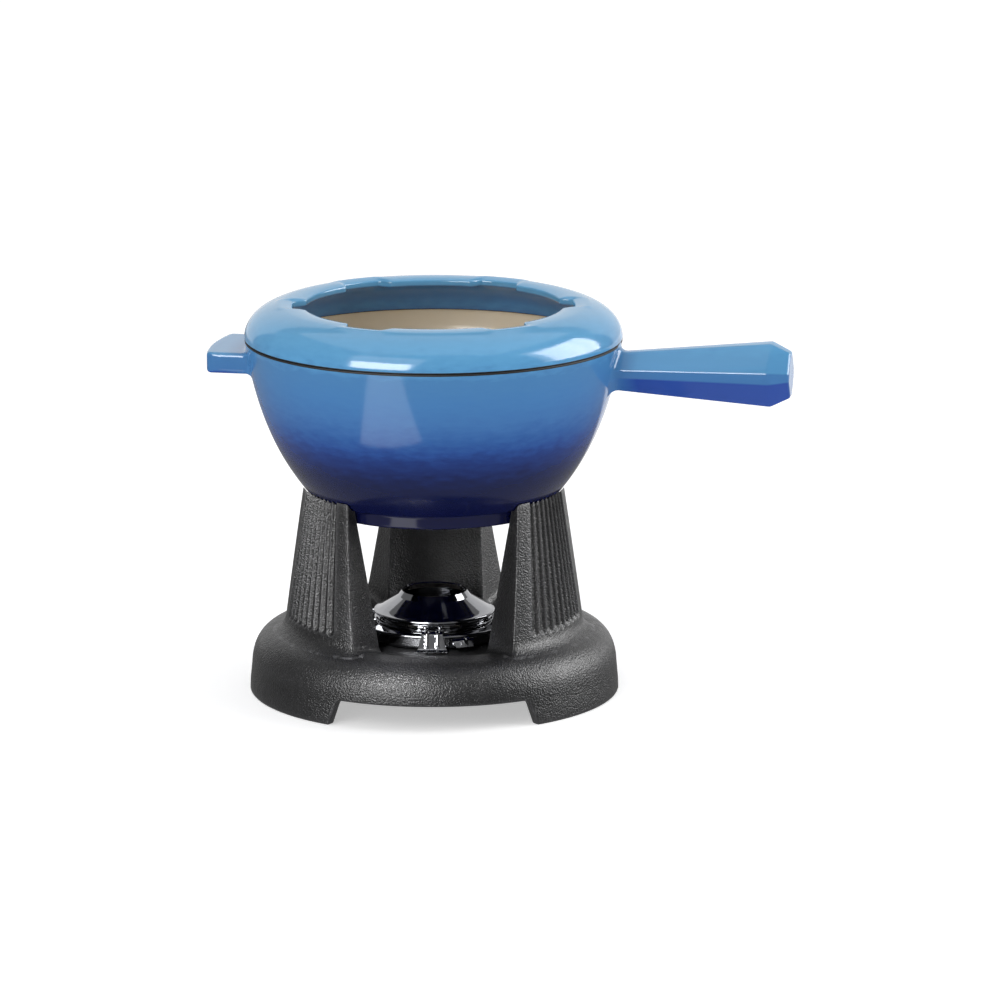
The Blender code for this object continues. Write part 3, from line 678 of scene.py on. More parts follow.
def tab_limb():
    """Short grip: a slab whose end is an arc round the centre line."""
    half = TAB_THICK / 2
    corners = [(-TAB_HALF, -half), (TAB_HALF, -half), (TAB_HALF, half), (-TAB_HALF, half)]
    loop = rounded(corners, 2.4, closed=True, steps=6)
    loop = evenly(loop + loop[:1], 1.6)[:-1]
    # start the loop in the middle of a corner, so that the caps' grids meet the corners
    loop = np.array(loop[3:] + loop[:3]) + np.array((0, GRIP_Z))
    across = int(np.argmax((loop[:, 0] > TAB_HALF - 1.5) & (loop[:, 1] > GRIP_Z - half + 0.3)))
    corner_reach = math.sqrt((TAB_R - TAB_CORNER) ** 2 - (TAB_HALF - TAB_CORNER) ** 2)

    def end(section):
        side = np.abs(section[:, 0])
        over = np.clip(side - (TAB_HALF - TAB_CORNER), 0, TAB_CORNER)
        return np.where(over > 0, corner_reach + np.sqrt(TAB_CORNER ** 2 - over ** 2),
                        np.sqrt(TAB_R ** 2 - side ** 2))

    flare = np.full(len(loop), 3.0)
    bm = limb(lambda level: loop, bowl_reach, end, np.full(len(loop), POT_R), 1.5, flare, 1.8,
              np.linspace(0, 1, 12), across)
    return grip_place(bm, -1)


def make_pot(blue, sand, bare):
    """Iron bowl with its grips: blue outside, sand inside, and a bare rim."""
    finishes = [blue, sand, bare]
    base = [(0, FOOT_Z + 1), (FOOT_R - 9, FOOT_Z + 1), (FOOT_R - 7, FOOT_Z), (FOOT_R, FOOT_Z)]
    band_top, fillet = 116.2, 2.6
    base = evenly(rounded(base + [(FOOT_R, band_top)], [0, 1, 1, 1.6, 0]), 6)
    outside = base + arc((FOOT_R + fillet, band_top), fillet, 180, 90, 8)[1:]
    bowl = [p for p in bowl_outside(64)[::-1] if p[0] > FOOT_R + 3.6 and p[1] < RIM_Z - 0.7]
    outside += bowl
    inner_rim = POT_R - POT_WALL
    rim = rounded([bowl[-1], (POT_R, RIM_Z), (inner_rim, RIM_Z), (inner_rim, RIM_Z - 4)], [0, 0.4, 0.8, 0])
    hollow = bezier((inner_rim - 0.6, 196.0), (101.5, 180.0), (92.5, 146.0), (68.0, 120.0), 40)
    hollow += rounded([hollow[-1], (62.0, 117.0), (54.0, 115.6), (0, 115.6)], [0, 14, 10, 0], steps=8)[1:]
    outline = outside + rim[1:] + evenly(hollow, 6)
    kinds = [0] * (len(outside) - 1) + [2] * (len(rim) - 1)
    kinds += [1] * (len(outline) - 1 - len(kinds))
    body = to_object(skin(around(outline, 192), kinds=kinds), "pot_body", finishes, POT_PLACE)
    grips = [to_object(handle_limb(), "handle", finishes, POT_PLACE, crease=20),
             to_object(tab_limb(), "tab", finishes, POT_PLACE)]
    combine(body, grips, "UNION")
    settle(body, "pot", "blue_enamel", "pot")


# ---------------------------------------------------------------- splatter guard
def guard_section():
    """Closed (radius, height) outline of the ring between its fork notches."""
    lip = GUARD_CREST_Z - 1.0
    spigot_r = POT_R - POT_WALL - GAP
    dome = bezier((POT_R, GUARD_Z + 0.5), (POT_R, 218.0), (103.6, 226.3), (GUARD_CREST_R + 7, 229.4), 28)
    crest = bezier(dome[-1], (GUARD_CREST_R + 2.5, GUARD_CREST_Z + 0.1), (MOUTH_R + 4, lip + 0.9),
                   (MOUTH_R + 1.2, lip), 12)[1:]
    edge = arc((MOUTH_R + 1.2, lip - 1.2), 1.2, 90, 180, 7)[1:]
    edge += arc((MOUTH_R + 1.2, lip - 2.8), 1.2, 180, 270, 7)
    inside = bezier(edge[-1], (90, lip - 4.4), (100.2, 219.5), (spigot_r - 3.4, GUARD_Z - 1), 22)[1:]
    spigot = [(spigot_r - 3.0, GUARD_Z - 3.4), (spigot_r, GUARD_Z - 3.4), (spigot_r, GUARD_Z)]
    spigot = rounded([inside[-1]] + spigot + [(POT_R, GUARD_Z), dome[0]], [0, 0.8, 0.8, 0.2, 0.35, 0])[1:-1]
    kinds = [0] * (len(dome) + len(crest) + len(edge) + len(inside) + 6) + [1] * (len(spigot) - 6)
    return dome + crest + edge + inside + spigot, kinds


def notch_tree():
    """Node tree that widens and dips a ring's mouth at even bearings."""
    tree = bpy.data.node_groups.new("fork_notches", "GeometryNodeTree")
    face = tree.interface
    face.new_socket("Geometry", in_out="INPUT", socket_type="NodeSocketGeometry")
    sizes = {"Notches": NOTCHES, "First bearing": math.radians(NOTCH_FIRST), "Mouth": MOUTH_R * MM,
             "Fade": NOTCH_FADE_R * MM, "Half width": math.radians(NOTCH_HALF),
             "Ramp": math.radians(NOTCH_RAMP), "Depth": (NOTCH_R - MOUTH_R) * MM, "Dip": NOTCH_DIP * MM}
    for name in sizes:
        face.new_socket(name, in_out="INPUT", socket_type="NodeSocketFloat")
    face.new_socket("Geometry", in_out="OUTPUT", socket_type="NodeSocketGeometry")
    given = tree.nodes.new("NodeGroupInput").outputs
    math_node = "ShaderNodeMath"
    place = add(tree, "GeometryNodeInputPosition")
    split = add(tree, "ShaderNodeSeparateXYZ", {0: place.outputs[0]})
    bearing = add(tree, math_node, {0: split.outputs["Y"], 1: split.outputs["X"]}, operation="ARCTAN2")
    pitch = add(tree, math_node, {0: math.tau, 1: given["Notches"]}, operation="DIVIDE")
    from_first = add(tree, math_node, {0: bearing.outputs[0], 1: given["First bearing"]},
                     operation="SUBTRACT")
    wrapped = add(tree, math_node, {0: from_first.outputs[0], 1: pitch.outputs[0]},
                  operation="FLOORED_MODULO")
    rest = add(tree, math_node, {0: pitch.outputs[0], 1: wrapped.outputs[0]}, operation="SUBTRACT")
    away = add(tree, math_node, {0: wrapped.outputs[0], 1: rest.outputs[0]}, operation="MINIMUM")
    outer = add(tree, math_node, {0: given["Half width"], 1: given["Ramp"]}, operation="ADD")
    share = add(tree, "ShaderNodeMapRange", {0: away.outputs[0], 1: given["Half width"], 2: outer.outputs[0],
                                             3: 1.0, 4: 0.0}, interpolation_type="SMOOTHSTEP")
    flat = add(tree, "ShaderNodeCombineXYZ", {"X": split.outputs["X"], "Y": split.outputs["Y"]})
    radius = add(tree, "ShaderNodeVectorMath", {0: flat.outputs[0]}, operation="LENGTH")
    near = add(tree, math_node, {0: given["Mouth"], 1: 3 * MM}, operation="ADD")
    weight = add(tree, "ShaderNodeMapRange", {0: radius.outputs["Value"], 1: near.outputs[0],
                                              2: given["Fade"], 3: 1.0, 4: 0.0},
                 interpolation_type="SMOOTHSTEP")
    amount = add(tree, math_node, {0: share.outputs[0], 1: weight.outputs[0]}, operation="MULTIPLY")
    out = add(tree, math_node, {0: amount.outputs[0], 1: given["Depth"]}, operation="MULTIPLY")
    down = add(tree, math_node, {0: amount.outputs[0], 1: given["Dip"]}, operation="MULTIPLY")
    ahead = add(tree, "ShaderNodeVectorMath", {0: flat.outputs[0]}, operation="NORMALIZE")
    push = add(tree, "ShaderNodeVectorMath", {0: ahead.outputs[0], "Scale": out.outputs[0]},
               operation="SCALE")
    drop = add(tree, "ShaderNodeCombineXYZ", {"Z": down.outputs[0]})
    offset = add(tree, "ShaderNodeVectorMath", {0: push.outputs[0], 1: drop.outputs[0]}, operation="SUBTRACT")
    moved = add(tree, "GeometryNodeSetPosition", {"Geometry": given["Geometry"], "Offset": offset.outputs[0]})
    real = add(tree, "GeometryNodeRealizeInstances", {0: moved.outputs[0]})
    add(tree, "NodeGroupOutput", {0: real.outputs[0]})
    return tree, sizes


def grow(obj, tree, values):
    """Run a node tree on an object with its named inputs set, and keep the result as a plain mesh."""
    modifier = obj.modifiers.new(tree.name, "NODES")
    modifier.node_group = tree
    for item in tree.interface.items_tree:
        if item.in_out == "INPUT" and item.name in values:
            modifier[item.identifier] = values[item.name]
    bake(obj)


def make_guard(blue, bare):
    """Fork rest that lies on the pot's rim."""
    outline, kinds = guard_section()
    ring = to_object(skin(around(outline, 360), ring=True, kinds=kinds), "fork_guard", [blue, bare],
                     Matrix.Identity(4))
    tree, sizes = notch_tree()
    grow(ring, tree, sizes)
    ring.data.transform(PLACE)
    settle(ring, "guard", "blue_enamel", "splatter_guard")


# ---------------------------------------------------------------- burner
def make_pan(steel):
    """Shallow dish with a rolled rim."""
    floor = FLOOR_Z + GAP
    top = rounded([(0, floor + SHEET), (38.8, floor + SHEET), (41.6, floor + 2.4), (42.6, PAN_Z - 1.6)], 2.4)
    rim = arc((PAN_R - 0.2, PAN_Z - 0.9), 1.0, 180, -90, 16)
    under = rounded([(43.3, PAN_Z - 2.0), (42.4, floor + 1.9), (39.2, floor), (0, floor)], 2.6)
    outline = evenly(top + rim + under, 6)
    pan = to_object(skin(around(outline, 160)), "burner_dish", [steel])
    settle(pan, "burner", "polished_steel", "burner_pan")


def pressed(stations, bearing, ribs=(), rib_height=0.0, rib_half=1.0, rib_span=(0, 1)):
    """Pressed strip along (radius, height, half-width) stations, with ribs raised along it."""
    line = [(r, z) for r, z, _ in stations]
    smooth = evenly(rounded(line, 1.6, steps=6), 0.5)
    smooth = [p for p, q in zip(smooth, smooth[1:]) if math.dist(p, q) > 1e-4] + [smooth[-1]]
    reach = np.cumsum([0] + [math.dist(a, b) for a, b in zip(line, line[1:])])
    length = np.cumsum([0] + [math.dist(a, b) for a, b in zip(smooth, smooth[1:])])
    widths = np.interp(length / length[-1], reach / reach[-1], [s[2] for s in stations])
    turn = Matrix.Rotation(math.radians(bearing), 3, "Z")
    cells = 36
    rows = []
    for i, (r, z) in enumerate(smooth):
        before, after = smooth[max(i - 1, 0)], smooth[min(i + 1, len(smooth) - 1)]
        ahead = (Vector(after) - Vector(before)).normalized()
        up = Vector((-ahead.y, ahead.x))
        share = length[i] / length[-1]
        ends = min(1, max(0, (share - rib_span[0]) * 12)) * min(1, max(0, (rib_span[1] - share) * 12))
        loop = []
        for side in (0, 1):
            for k in range(cells + 1):
                y = mix(-widths[i], widths[i], (k if side else cells - k) / cells)
                crown = sum(max(0.0, 1 - ((y - rib) / rib_half) ** 2) ** 0.7 for rib in ribs)
                point = Vector((r, z)) + up * (SHEET * (0 if side else 1) + rib_height * crown * ends)
                loop.append(turn @ Vector((point.x, y, point.y)))
            edge = widths[i] + 0.15
            middle = Vector((r, z)) + up * SHEET * 0.5
            loop.append(turn @ Vector((middle.x, edge if side else -edge, middle.y)))
        rows.append(loop)
    bm = skin(rows)
    bm.verts.ensure_lookup_table()
    count = len(rows[0])
    for first in (0, (len(rows) - 1) * count):
        ring = [bm.verts[first + k] for k in range(count)]
        upper, lower = ring[:cells + 1], ring[cells + 2:2 * cells + 3][::-1]
        for k in range(cells):
            bm.faces.new((upper[k], upper[k + 1], lower[k + 1], lower[k]))
        bm.faces.new((upper[-1], ring[cells + 1], lower[-1]))
        bm.faces.new((upper[0], lower[0], ring[-1]))
    return bm


def make_pan_tab(steel):
    """Grip riveted to the dish's wall, folded over and down, with a pressed crease."""
    stations = ((43.7, 34.4, PAN_TAB_HALF), (44.6, 38.0, PAN_TAB_HALF), (46.0, 39.0, PAN_TAB_HALF),
                (47.8, 38.0, PAN_TAB_HALF - 0.4), (50.2, 34.9, PAN_TAB_HALF - 1.6))
    tab = to_object(pressed(stations, TAB_BEARING, (0.0,), 0.6, 2.2, (0.45, 0.95)), "dish_grip", [steel])
    settle(tab, "burner", "polished_steel", "pan_tab")


def make_cup(steel):
    """Fuel cup with its flat flange."""
    floor = FLOOR_Z + GAP + SHEET + GAP
    inner = CUP_R - SHEET
    outline = [(0, floor + SHEET), (inner - 1.6, floor + SHEET), (inner, floor + 2.4), (inner, CUP_RIM_Z),
               (CUP_R + 3.0, CUP_RIM_Z), (CUP_R + 3.0, CUP_RIM_Z - SHEET), (CUP_R, CUP_RIM_Z - SHEET),
               (CUP_R, floor + 2.0), (CUP_R - 2.0, floor), (0, floor)]
    outline = evenly(rounded(outline, [0, 1.5, 1.5, 0.4, 0.4, 0.4, 0.8, 2, 2, 0]), 6)
    cup = to_object(skin(around(outline, 128)), "spirit_cup", [steel])
    settle(cup, "cup", "polished_steel", "fuel_cup")


def make_wadding(fibre):
    """Absorbent pad in the cup, crowned and uneven."""
    inner = CUP_R - SHEET - GAP
    outline = [(0, 37.3), (inner - 4, 37.2), (inner, 36.4), (inner - 0.1, 35.8), (inner - 2.4, 34.2),
               (0, 34.2)]
    outline = evenly(rounded(outline, [0, 3, 0.8, 0.8, 1, 0]), 1.4)
    rows = []
    for row in around(outline, 96):
        rows.append([(x, y, z - 0.22 * (1 + math.sin(x * 0.9) * math.sin(y * 0.7 + 1)) * (z > 36.5))
                     for x, y, z in row])
    pad = to_object(skin(rows), "wadding_pad", [fibre])
    settle(pad, "cup", "wadding", "absorbent_pad")


def gauze_tree():
    """Node tree of a round of plain-woven wire: two sets of waved wires that pass over and under."""
    tree = bpy.data.node_groups.new("plain_woven_gauze", "GeometryNodeTree")
    face = tree.interface
    face.new_socket("Geometry", in_out="INPUT", socket_type="NodeSocketGeometry")
    sizes = {"Radius": GAUZE_R * MM, "Pitch": GAUZE_PITCH * MM, "Wire radius": GAUZE_WIRE * MM}
    for name in sizes:
        face.new_socket(name, in_out="INPUT", socket_type="NodeSocketFloat")
    face.new_socket("Finish", in_out="INPUT", socket_type="NodeSocketMaterial")
    face.new_socket("Geometry", in_out="OUTPUT", socket_type="NodeSocketGeometry")
    given = tree.nodes.new("NodeGroupInput").outputs
    math_node = "ShaderNodeMath"
    span = add(tree, math_node, {0: given["Radius"], 1: given["Pitch"]}, operation="DIVIDE")
    half_count = add(tree, math_node, {0: span.outputs[0]}, operation="FLOOR")
    count = add(tree, math_node, {0: half_count.outputs[0], 1: 2.0, 2: 1.0}, operation="MULTIPLY_ADD")
    reach = add(tree, math_node, {0: half_count.outputs[0], 1: given["Pitch"]}, operation="MULTIPLY")
    start = add(tree, math_node, {0: reach.outputs[0], 1: -1.0}, operation="MULTIPLY")
    profile = add(tree, "GeometryNodeCurvePrimitiveCircle", {"Resolution": 6, "Radius": given["Wire radius"]})
    sets = []
    for over, along, across in ((1.0, "X", "Y"), (-1.0, "Y", "X")):
        first = add(tree, "ShaderNodeCombineXYZ", {along: start.outputs[0]})
        step = add(tree, "ShaderNodeCombineXYZ", {along: given["Pitch"]})
        line = add(tree, "GeometryNodeMeshLine", {"Count": count.outputs[0],
                                                  "Start Location": first.outputs[0],
                                                  "Offset": step.outputs[0]})
        place = add(tree, "GeometryNodeInputPosition")
        split = add(tree, "ShaderNodeSeparateXYZ", {0: place.outputs[0]})
        squared = add(tree, math_node, {0: split.outputs[along], 1: split.outputs[along]},
                      operation="MULTIPLY")
        whole = add(tree, math_node, {0: given["Radius"], 1: given["Radius"]}, operation="MULTIPLY")
        chord = add(tree, math_node, {0: whole.outputs[0], 1: squared.outputs[0]}, operation="SUBTRACT")
        half = add(tree, math_node, {0: chord.outputs[0]}, operation="SQRT")
        size = add(tree, "ShaderNodeCombineXYZ", {along: 1.0, across: half.outputs[0], "Z": 1.0})
        tip = (0, 1, 0) if across == "Y" else (1, 0, 0)
        wire = add(tree, "GeometryNodeCurvePrimitiveLine", {"Start": [-c for c in tip], "End": tip})
        fine = add(tree, "GeometryNodeResampleCurve", {"Curve": wire.outputs[0], "Count": 120})
        wires = add(tree, "GeometryNodeInstanceOnPoints", {"Points": line.outputs[0],
                                                           "Instance": fine.outputs[0],
                                                           "Scale": size.outputs[0]})
        real = add(tree, "GeometryNodeRealizeInstances", {0: wires.outputs[0]})
        waves = []
        for axis in ("X", "Y"):
            turns = add(tree, math_node, {0: split.outputs[axis], 1: given["Pitch"]}, operation="DIVIDE")
            angle = add(tree, math_node, {0: turns.outputs[0], 1: math.pi}, operation="MULTIPLY")
            waves.append(add(tree, math_node, {0: angle.outputs[0]}, operation="COSINE"))
        wave = add(tree, math_node, {0: waves[0].outputs[0], 1: waves[1].outputs[0]}, operation="MULTIPLY")
        lift = add(tree, math_node, {0: given["Wire radius"], 1: over}, operation="MULTIPLY")
        rise = add(tree, math_node, {0: wave.outputs[0], 1: lift.outputs[0]}, operation="MULTIPLY")
        offset = add(tree, "ShaderNodeCombineXYZ", {"Z": rise.outputs[0]})
        waved = add(tree, "GeometryNodeSetPosition", {"Geometry": real.outputs[0],
                                                      "Offset": offset.outputs[0]})
        sets.append(add(tree, "GeometryNodeCurveToMesh", {"Curve": waved.outputs[0],
                                                          "Profile Curve": profile.outputs[0],
                                                          "Fill Caps": True}))
    both = add(tree, "GeometryNodeJoinGeometry")
    for wires in sets:
        tree.links.new(wires.outputs[0], both.inputs[0])
    real = add(tree, "GeometryNodeRealizeInstances", {0: both.outputs[0]})
    done = add(tree, "GeometryNodeSetMaterial", {"Geometry": real.outputs[0], "Material": given["Finish"]})
    add(tree, "NodeGroupOutput", {0: done.outputs[0]})
    return tree, sizes


def make_gauze(wire, steel):
    """Woven gauze over the wadding, and the snap ring that holds it down."""
    tree, sizes = gauze_tree()
    gauze = to_object(bmesh.new(), "woven_gauze", [])
    grow(gauze, tree, {**sizes, "Finish": wire})
    gauze.data.transform(PLACE @ Matrix.Translation((0, 0, GAUZE_Z * MM)))
    settle(gauze, "cup", "wire_gauze", "wick_gauze")
    ring = arc((CUP_R - SHEET - GAP - 0.55, 39.2), 0.5, 0, 330, 11)
    snap = to_object(skin(around(ring, 96), ring=True), "snap_ring", [steel])
    settle(snap, "cup", "polished_steel", "gauze_ring")


def vent_blocks(name, inner, outer):
    """Cutters for the ring of air vents through a wall between two radii."""
    bm = bmesh.new()
    for i in range(VENTS):
        size = Matrix.Diagonal(((outer - inner) * MM, 2 * VENT_HALF * MM, (VENT_HIGH - VENT_LOW) * MM, 1))
        move = Matrix.Translation(Vector(((inner + outer) / 2, 0, (VENT_LOW + VENT_HIGH) / 2)) * MM)
        turn = Matrix.Rotation(math.tau * (i + 0.5) / VENTS, 4, "Z")
        bmesh.ops.create_cube(bm, size=1.0, matrix=turn @ move @ size)
    return to_object(bm, name, [])


def make_cover(steel):
    """Pressed cone with a throat collar above and a vented skirt below."""
    low = CUP_RIM_Z + GAP
    cone = rounded([(THROAT_R, THROAT_Z), (SHOULDER_R, SHOULDER_Z), (33.4, COVER_Z + 1.0)], [0, 1.2, 0])
    rim = arc((COVER_R - COVER_ROLL, COVER_Z), COVER_ROLL, 60, -90, 12)
    skirt = [(SKIRT_R, COVER_Z - COVER_ROLL), (SKIRT_R, low + SKIRT_BEAD), (SKIRT_R + 1.2, low + 0.8),
             (SKIRT_R + 1.2, low), (SKIRT_R - SHEET, low), (SKIRT_R - SHEET, COVER_Z + 0.1),
             (SHOULDER_R - 0.5, SHOULDER_Z - 0.9), (THROAT_R - SHEET, THROAT_Z - 0.6)]
    skirt = rounded(skirt, [0.3, 0.3, 0.3, 0.3, 0.3, 0.8, 1.0, 0])
    outline = evenly(cone + rim + skirt, 3)
    cover = to_object(skin(around(outline, 160), ring=True), "burner_cone", [steel])
    combine(cover, [vent_blocks("cover_vents", SKIRT_R - 2, SKIRT_R + 0.2)], "DIFFERENCE")
    settle(cover, "cover", "polished_steel", "burner_cover")


def make_regulator(steel):
    """Vented ring round the skirt, with the ear and the lever that turn it."""
    top = COVER_Z - COVER_ROLL - GAP
    band = [(BAND_R - SHEET, top), (BAND_R, top), (BAND_R, RING_LOW + SHEET),
            (RING_FLANGE_R, RING_LOW + SHEET), (RING_FLANGE_R, RING_LOW), (BAND_R - SHEET, RING_LOW)]
    outline = rounded(band, [0.3, 0.3, 0.6, 0.35, 0.35, 0.5], closed=True)
    ring = to_object(skin(around(outline, 160), ring=True), "regulator_band", [steel])
    flare = rounded([(RING_FLANGE_R, 14.3), (37.4, 9.6), (39.6, 8.6)], [0, 2, 0], steps=8)
    plan = arc((0, 0), EAR_ROOT_R, -EAR_SPREAD, EAR_SPREAD, 12)
    flare[0] = (flare[0][0] - EAR_TUCK, flare[0][1])
    plan += flare + [(x, -y) for x, y in reversed(flare)]
    bm = skin([[(x, y, z) for x, y in plan] for z in (RING_LOW, RING_LOW + SHEET)])
    bm.verts.ensure_lookup_table()
    bm.faces.new(bm.verts[:len(plan)])
    bm.faces.new(bm.verts[len(plan):])
    turn = PLACE @ Matrix.Rotation(math.radians(LEVER_BEARING), 4, "Z")
    ear = to_object(bm, "ear", [steel], turn)
    combine(ring, [ear], "UNION")
    combine(ring, [vent_blocks("ring_vents", BAND_R - 1.2, BAND_R + 0.6)], "DIFFERENCE")
    settle(ring, "regulator", "polished_steel", "regulator_ring")
    neck, tip = LEVER_NECK_HALF, LEVER_TIP_HALF
    stations = ((35.9, LEVER_LOW, neck + 2.0), (38.6, LEVER_LOW, neck + 1.0), (41.4, LEVER_LOW, neck),
                (45.2, LEVER_LOW, neck), (46.4, LEVER_LOW - 0.9, neck), (48.8, 34.4, tip - 1.2),
                (49.4, 33.4, tip - 0.6), (51.0, 32.7, tip))
    lever = to_object(pressed(stations, LEVER_BEARING, (-3.1, 3.1), 0.7, 1.1, (0.28, 0.86)),
                      "regulator_tongue", [steel])
    settle(lever, "regulator", "polished_steel", "regulator_lever")


def rivet_tree():
    """Node tree that sets a domed rivet on each point, along the point's own direction."""
    tree = bpy.data.node_groups.new("domed_rivets", "GeometryNodeTree")
    face = tree.interface
    face.new_socket("Geometry", in_out="INPUT", socket_type="NodeSocketGeometry")
    sizes = {"Head radius": RIVET_HEAD_R * MM, "Head height": RIVET_HEAD_RISE * MM, "Shank radius": RIVET_R * MM}
    for name in [*sizes, "Grip"]:
        face.new_socket(name, in_out="INPUT", socket_type="NodeSocketFloat")
    face.new_socket("Finish", in_out="INPUT", socket_type="NodeSocketMaterial")
    face.new_socket("Geometry", in_out="OUTPUT", socket_type="NodeSocketGeometry")
    given = tree.nodes.new("NodeGroupInput").outputs
    math_node = "ShaderNodeMath"
    length = add(tree, math_node, {0: given["Grip"], 1: 1.4 * MM}, operation="ADD")
    shank = add(tree, "GeometryNodeMeshCylinder", {"Vertices": 20, "Radius": given["Shank radius"],
                                                   "Depth": length.outputs[0]})
    sink = add(tree, math_node, {0: given["Grip"], 1: -0.5, 2: 0.1 * MM}, operation="MULTIPLY_ADD")
    down = add(tree, "ShaderNodeCombineXYZ", {"Z": sink.outputs[0]})
    set_shank = add(tree, "GeometryNodeTransform", {"Geometry": shank.outputs[0],
                                                    "Translation": down.outputs[0]})
    ball = add(tree, "GeometryNodeMeshUVSphere", {"Segments": 24, "Rings": 14, "Radius": 1.0})
    flat = add(tree, "ShaderNodeCombineXYZ", {"X": given["Head radius"], "Y": given["Head radius"],
                                              "Z": given["Head height"]})
    lift = add(tree, "ShaderNodeCombineXYZ", {"Z": 0.45 * MM})
    head = add(tree, "GeometryNodeTransform", {"Geometry": ball.outputs[0], "Scale": flat.outputs[0],
                                               "Translation": lift.outputs[0]})
    place = add(tree, "GeometryNodeInputPosition")
    split = add(tree, "ShaderNodeSeparateXYZ", {0: place.outputs[0]})
    above = add(tree, math_node, {0: split.outputs["Z"], 1: 0.4 * MM}, operation="MAXIMUM")
    cut = add(tree, "ShaderNodeCombineXYZ", {"X": split.outputs["X"], "Y": split.outputs["Y"],
                                             "Z": above.outputs[0]})
    dome = add(tree, "GeometryNodeSetPosition", {"Geometry": head.outputs[0], "Position": cut.outputs[0]})
    whole = add(tree, "GeometryNodeJoinGeometry")
    tree.links.new(set_shank.outputs[0], whole.inputs[0])
    tree.links.new(dome.outputs[0], whole.inputs[0])
    facing = add(tree, "GeometryNodeInputNamedAttribute", {"Name": "facing"}, data_type="FLOAT_VECTOR")
    aim = add(tree, "FunctionNodeAlignRotationToVector", {"Vector": facing.outputs[0]}, axis="Z")
    rivets = add(tree, "GeometryNodeInstanceOnPoints", {"Points": given["Geometry"],
                                                        "Instance": whole.outputs[0],
                                                        "Rotation": aim.outputs[0]})
    real = add(tree, "GeometryNodeRealizeInstances", {0: rivets.outputs[0]})
    done = add(tree, "GeometryNodeSetMaterial", {"Geometry": real.outputs[0], "Material": given["Finish"]})
    add(tree, "NodeGroupOutput", {0: done.outputs[0]})
    return tree, sizes


def make_rivets(name, spots, bearing, grip, steel, body, nodes):
    """A pair of rivets at (point, direction) spots, as one piece."""
    turn = Matrix.Rotation(math.radians(bearing), 3, "Z")
    mesh = bpy.data.meshes.new(name)
    mesh.from_pydata([AXIS + turn @ (Vector(point) * MM) for point, _ in spots], [], [])
    facing = mesh.attributes.new("facing", "FLOAT_VECTOR", "POINT")
    for i, (_, direction) in enumerate(spots):
        facing.data[i].vector = turn @ Vector(direction)
    obj = bpy.data.objects.new(name, mesh)
    bpy.context.collection.objects.link(obj)
    tree, sizes = rivet_tree()
    grow(obj, tree, {**sizes, "Grip": grip * MM, "Finish": steel})
    settle(obj, body, "polished_steel", *nodes)


def make_all_rivets(steel):
    tab = [((43.9, side * TAB_RIVET_SIDE, 35.9), (1, 0, 0)) for side in (-1, 1)]
    make_rivets("grip_rivets", tab, TAB_BEARING, TAB_GRIP, steel, "burner", ("tab_rivet_1", "tab_rivet_2"))
    top = LEVER_LOW + SHEET
    lever = [((37.4, side * LEVER_RIVET_SIDE, top), (0, 0, 1)) for side in (-1, 1)]
    make_rivets("tongue_rivets", lever, LEVER_BEARING, 2 * SHEET + GAP, steel, "regulator",
                ("lever_rivet_1", "lever_rivet_2"))


# ---------------------------------------------------------------- studio
def softbox(name, place, aim, size, radiance, diffuse=True, turn=0):
    """Rectangular area light of a given brightness, hidden from the camera itself."""
    light = bpy.data.lights.new(name, "AREA")
    light.shape = "RECTANGLE"
    light.size, light.size_y = size
    light.energy = radiance * math.pi * size[0] * size[1]
    obj = bpy.data.objects.new(name, light)
    obj.location = place
    look = (Vector(aim) - Vector(place)).to_track_quat("-Z", "Y").to_matrix()
    obj.rotation_euler = (Matrix.Rotation(math.radians(turn), 3, "Z") @ look).to_euler()
    obj.visible_camera = False
    obj.visible_diffuse = diffuse
    bpy.context.collection.objects.link(obj)


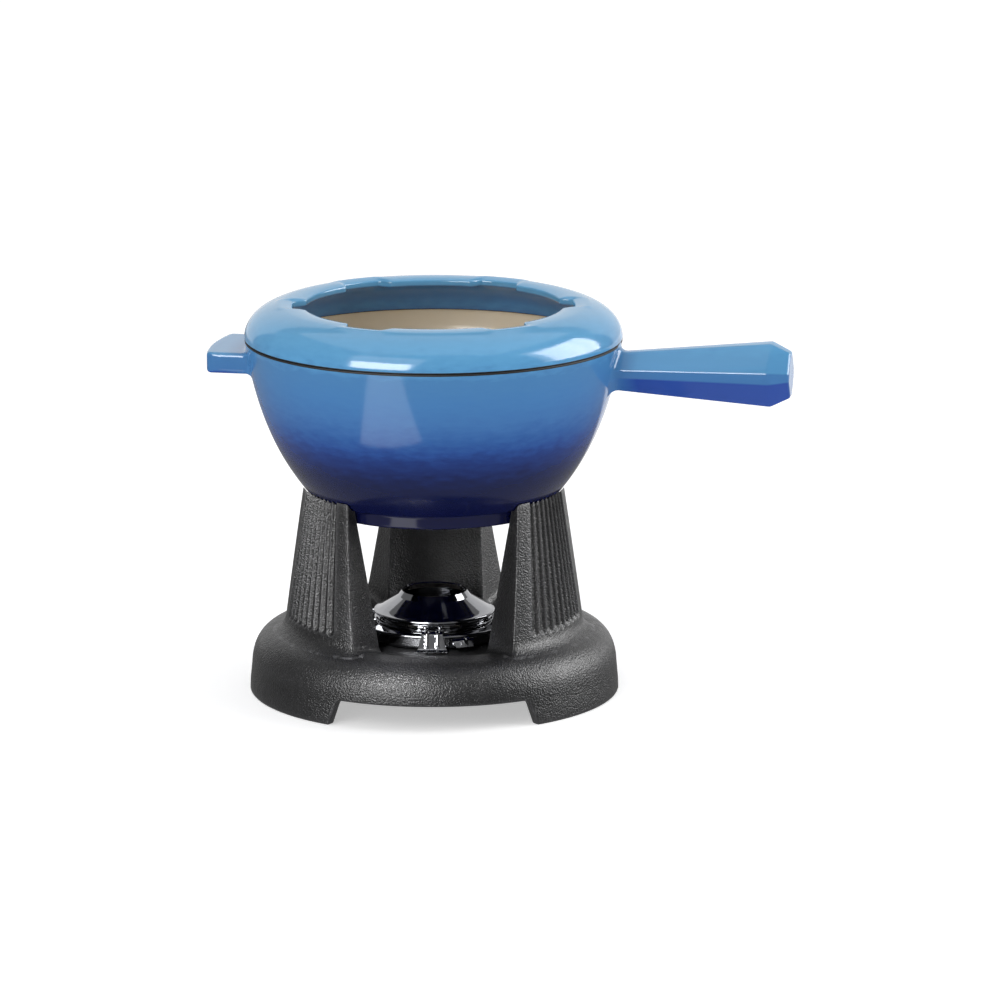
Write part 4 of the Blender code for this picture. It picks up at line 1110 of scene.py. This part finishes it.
def make_studio():
    """White table, pale surroundings and soft boxes above, left, right and behind."""
    floor_material, tree, shader = new_material("white_table", Roughness=0.9, Emission_Strength=0.45,
                                                Emission_Color=(1, 1, 1, 1))
    place = add(tree, "ShaderNodeTexCoord")
    tone = add(tree, "ShaderNodeTexNoise", {"Vector": place.outputs["Object"], "Scale": 3})
    colour = add(tree, "ShaderNodeMix", {0: tone.outputs[0], 6: linear("f2f2f2"), 7: linear("f4f4f4")},
                 data_type="RGBA")
    tree.links.new(colour.outputs[2], shader.inputs["Base Color"])
    bm = bmesh.new()
    bmesh.ops.create_circle(bm, cap_ends=True, segments=96, radius=1.7)
    floor = to_object(bm, "table", [floor_material], Matrix.Identity(4))
    floor.visible_glossy = False
    world = bpy.data.worlds.new("studio")
    bpy.context.scene.world = world
    world.use_nodes = True
    tree = world.node_tree
    tree.nodes.clear()
    seen = add(tree, "ShaderNodeLightPath")
    dim = add(tree, "ShaderNodeBackground", {"Color": (1, 1, 1, 1), "Strength": 0.27})
    white = add(tree, "ShaderNodeBackground", {"Color": (1, 1, 1, 1), "Strength": 1.05})
    choice = add(tree, "ShaderNodeMixShader", {0: seen.outputs["Is Camera Ray"], 1: dim.outputs[0],
                                               2: white.outputs[0]})
    add(tree, "ShaderNodeOutputWorld", {"Surface": choice.outputs[0]})
    centre = (AXIS.x, AXIS.y, 0.2)
    softbox("top_box", (AXIS.x, 0.15, 1.5), centre, (1.8, 1.8), 0.8)
    softbox("left_box", (-0.86, -1.37, 0.99), centre, (1.3, 1.5), 2.0)
    softbox("right_box", (1.5, -0.1, 0.85), centre, (1.1, 1.3), 2.4)
    softbox("backdrop", (0, 2.4, 0.9), (0, 0, 0.5), (4.5, 2.0), 0.65)
    # these only gleam in glossy surfaces
    softbox("left_gleam", (-0.84, -1.31, 0.55), centre, (1.0, 0.72), 13.0, diffuse=False)
    softbox("right_gleam", (1.48, 0.19, 0.8), centre, (1.3, 1.2), 8.0, diffuse=False)
    softbox("table_behind", (0.9, 1.5, -0.03), (0.9, 1.5, 1.0), (2.2, 2.0), 0.8, diffuse=False)
    softbox("table_card", (-0.28, -0.466, -0.02), (-0.28, -0.466, 1.0), (0.19, 0.55), 1.7, diffuse=False,
            turn=-27.5)
    spot = bpy.data.lights.new("burner_glint", "SPOT")
    spot.energy, spot.spot_size, spot.spot_blend, spot.shadow_soft_size = 100.0, math.radians(5), 1.0, 0.02
    glint = bpy.data.objects.new("burner_glint", spot)
    glint.location = (-0.2, -0.55, 0.42)
    beam = Vector((-0.052, -0.064, 0.035)) - glint.location
    glint.rotation_euler = beam.to_track_quat("-Z", "Y").to_euler()
    bpy.context.collection.objects.link(glint)


def make_camera():
    """Long lens at the height of someone who sits at the table."""
    camera = bpy.data.cameras.new("camera")
    camera.sensor_width = 36.0
    camera.lens = 201.9
    obj = bpy.data.objects.new("camera", camera)
    place, aim = Vector((-0.0044, -3.2, 0.8443)), Vector((0.0004, 0.0, 0.112))
    obj.location = place
    obj.rotation_euler = (aim - place).to_track_quat("-Z", "Y").to_euler()
    bpy.context.collection.objects.link(obj)
    bpy.context.scene.camera = obj
    bpy.context.scene.view_settings.view_transform = "Standard"


# ---------------------------------------------------------------- everything
def main():
    make_camera()
    make_studio()
    iron, blue, sand, bare = sand_cast_iron(), fired_blue_enamel(), sand_enamel(), bare_rim_iron()
    steel, wire, fibre = polished_steel(), woven_steel_wire(), mineral_wadding()
    make_stand(iron)
    make_pot(blue, sand, bare)
    make_guard(blue, bare)
    make_pan(steel)
    make_pan_tab(steel)
    make_cup(steel)
    make_wadding(fibre)
    make_gauze(wire, steel)
    make_cover(steel)
    make_regulator(steel)
    make_all_rivets(steel)


main()
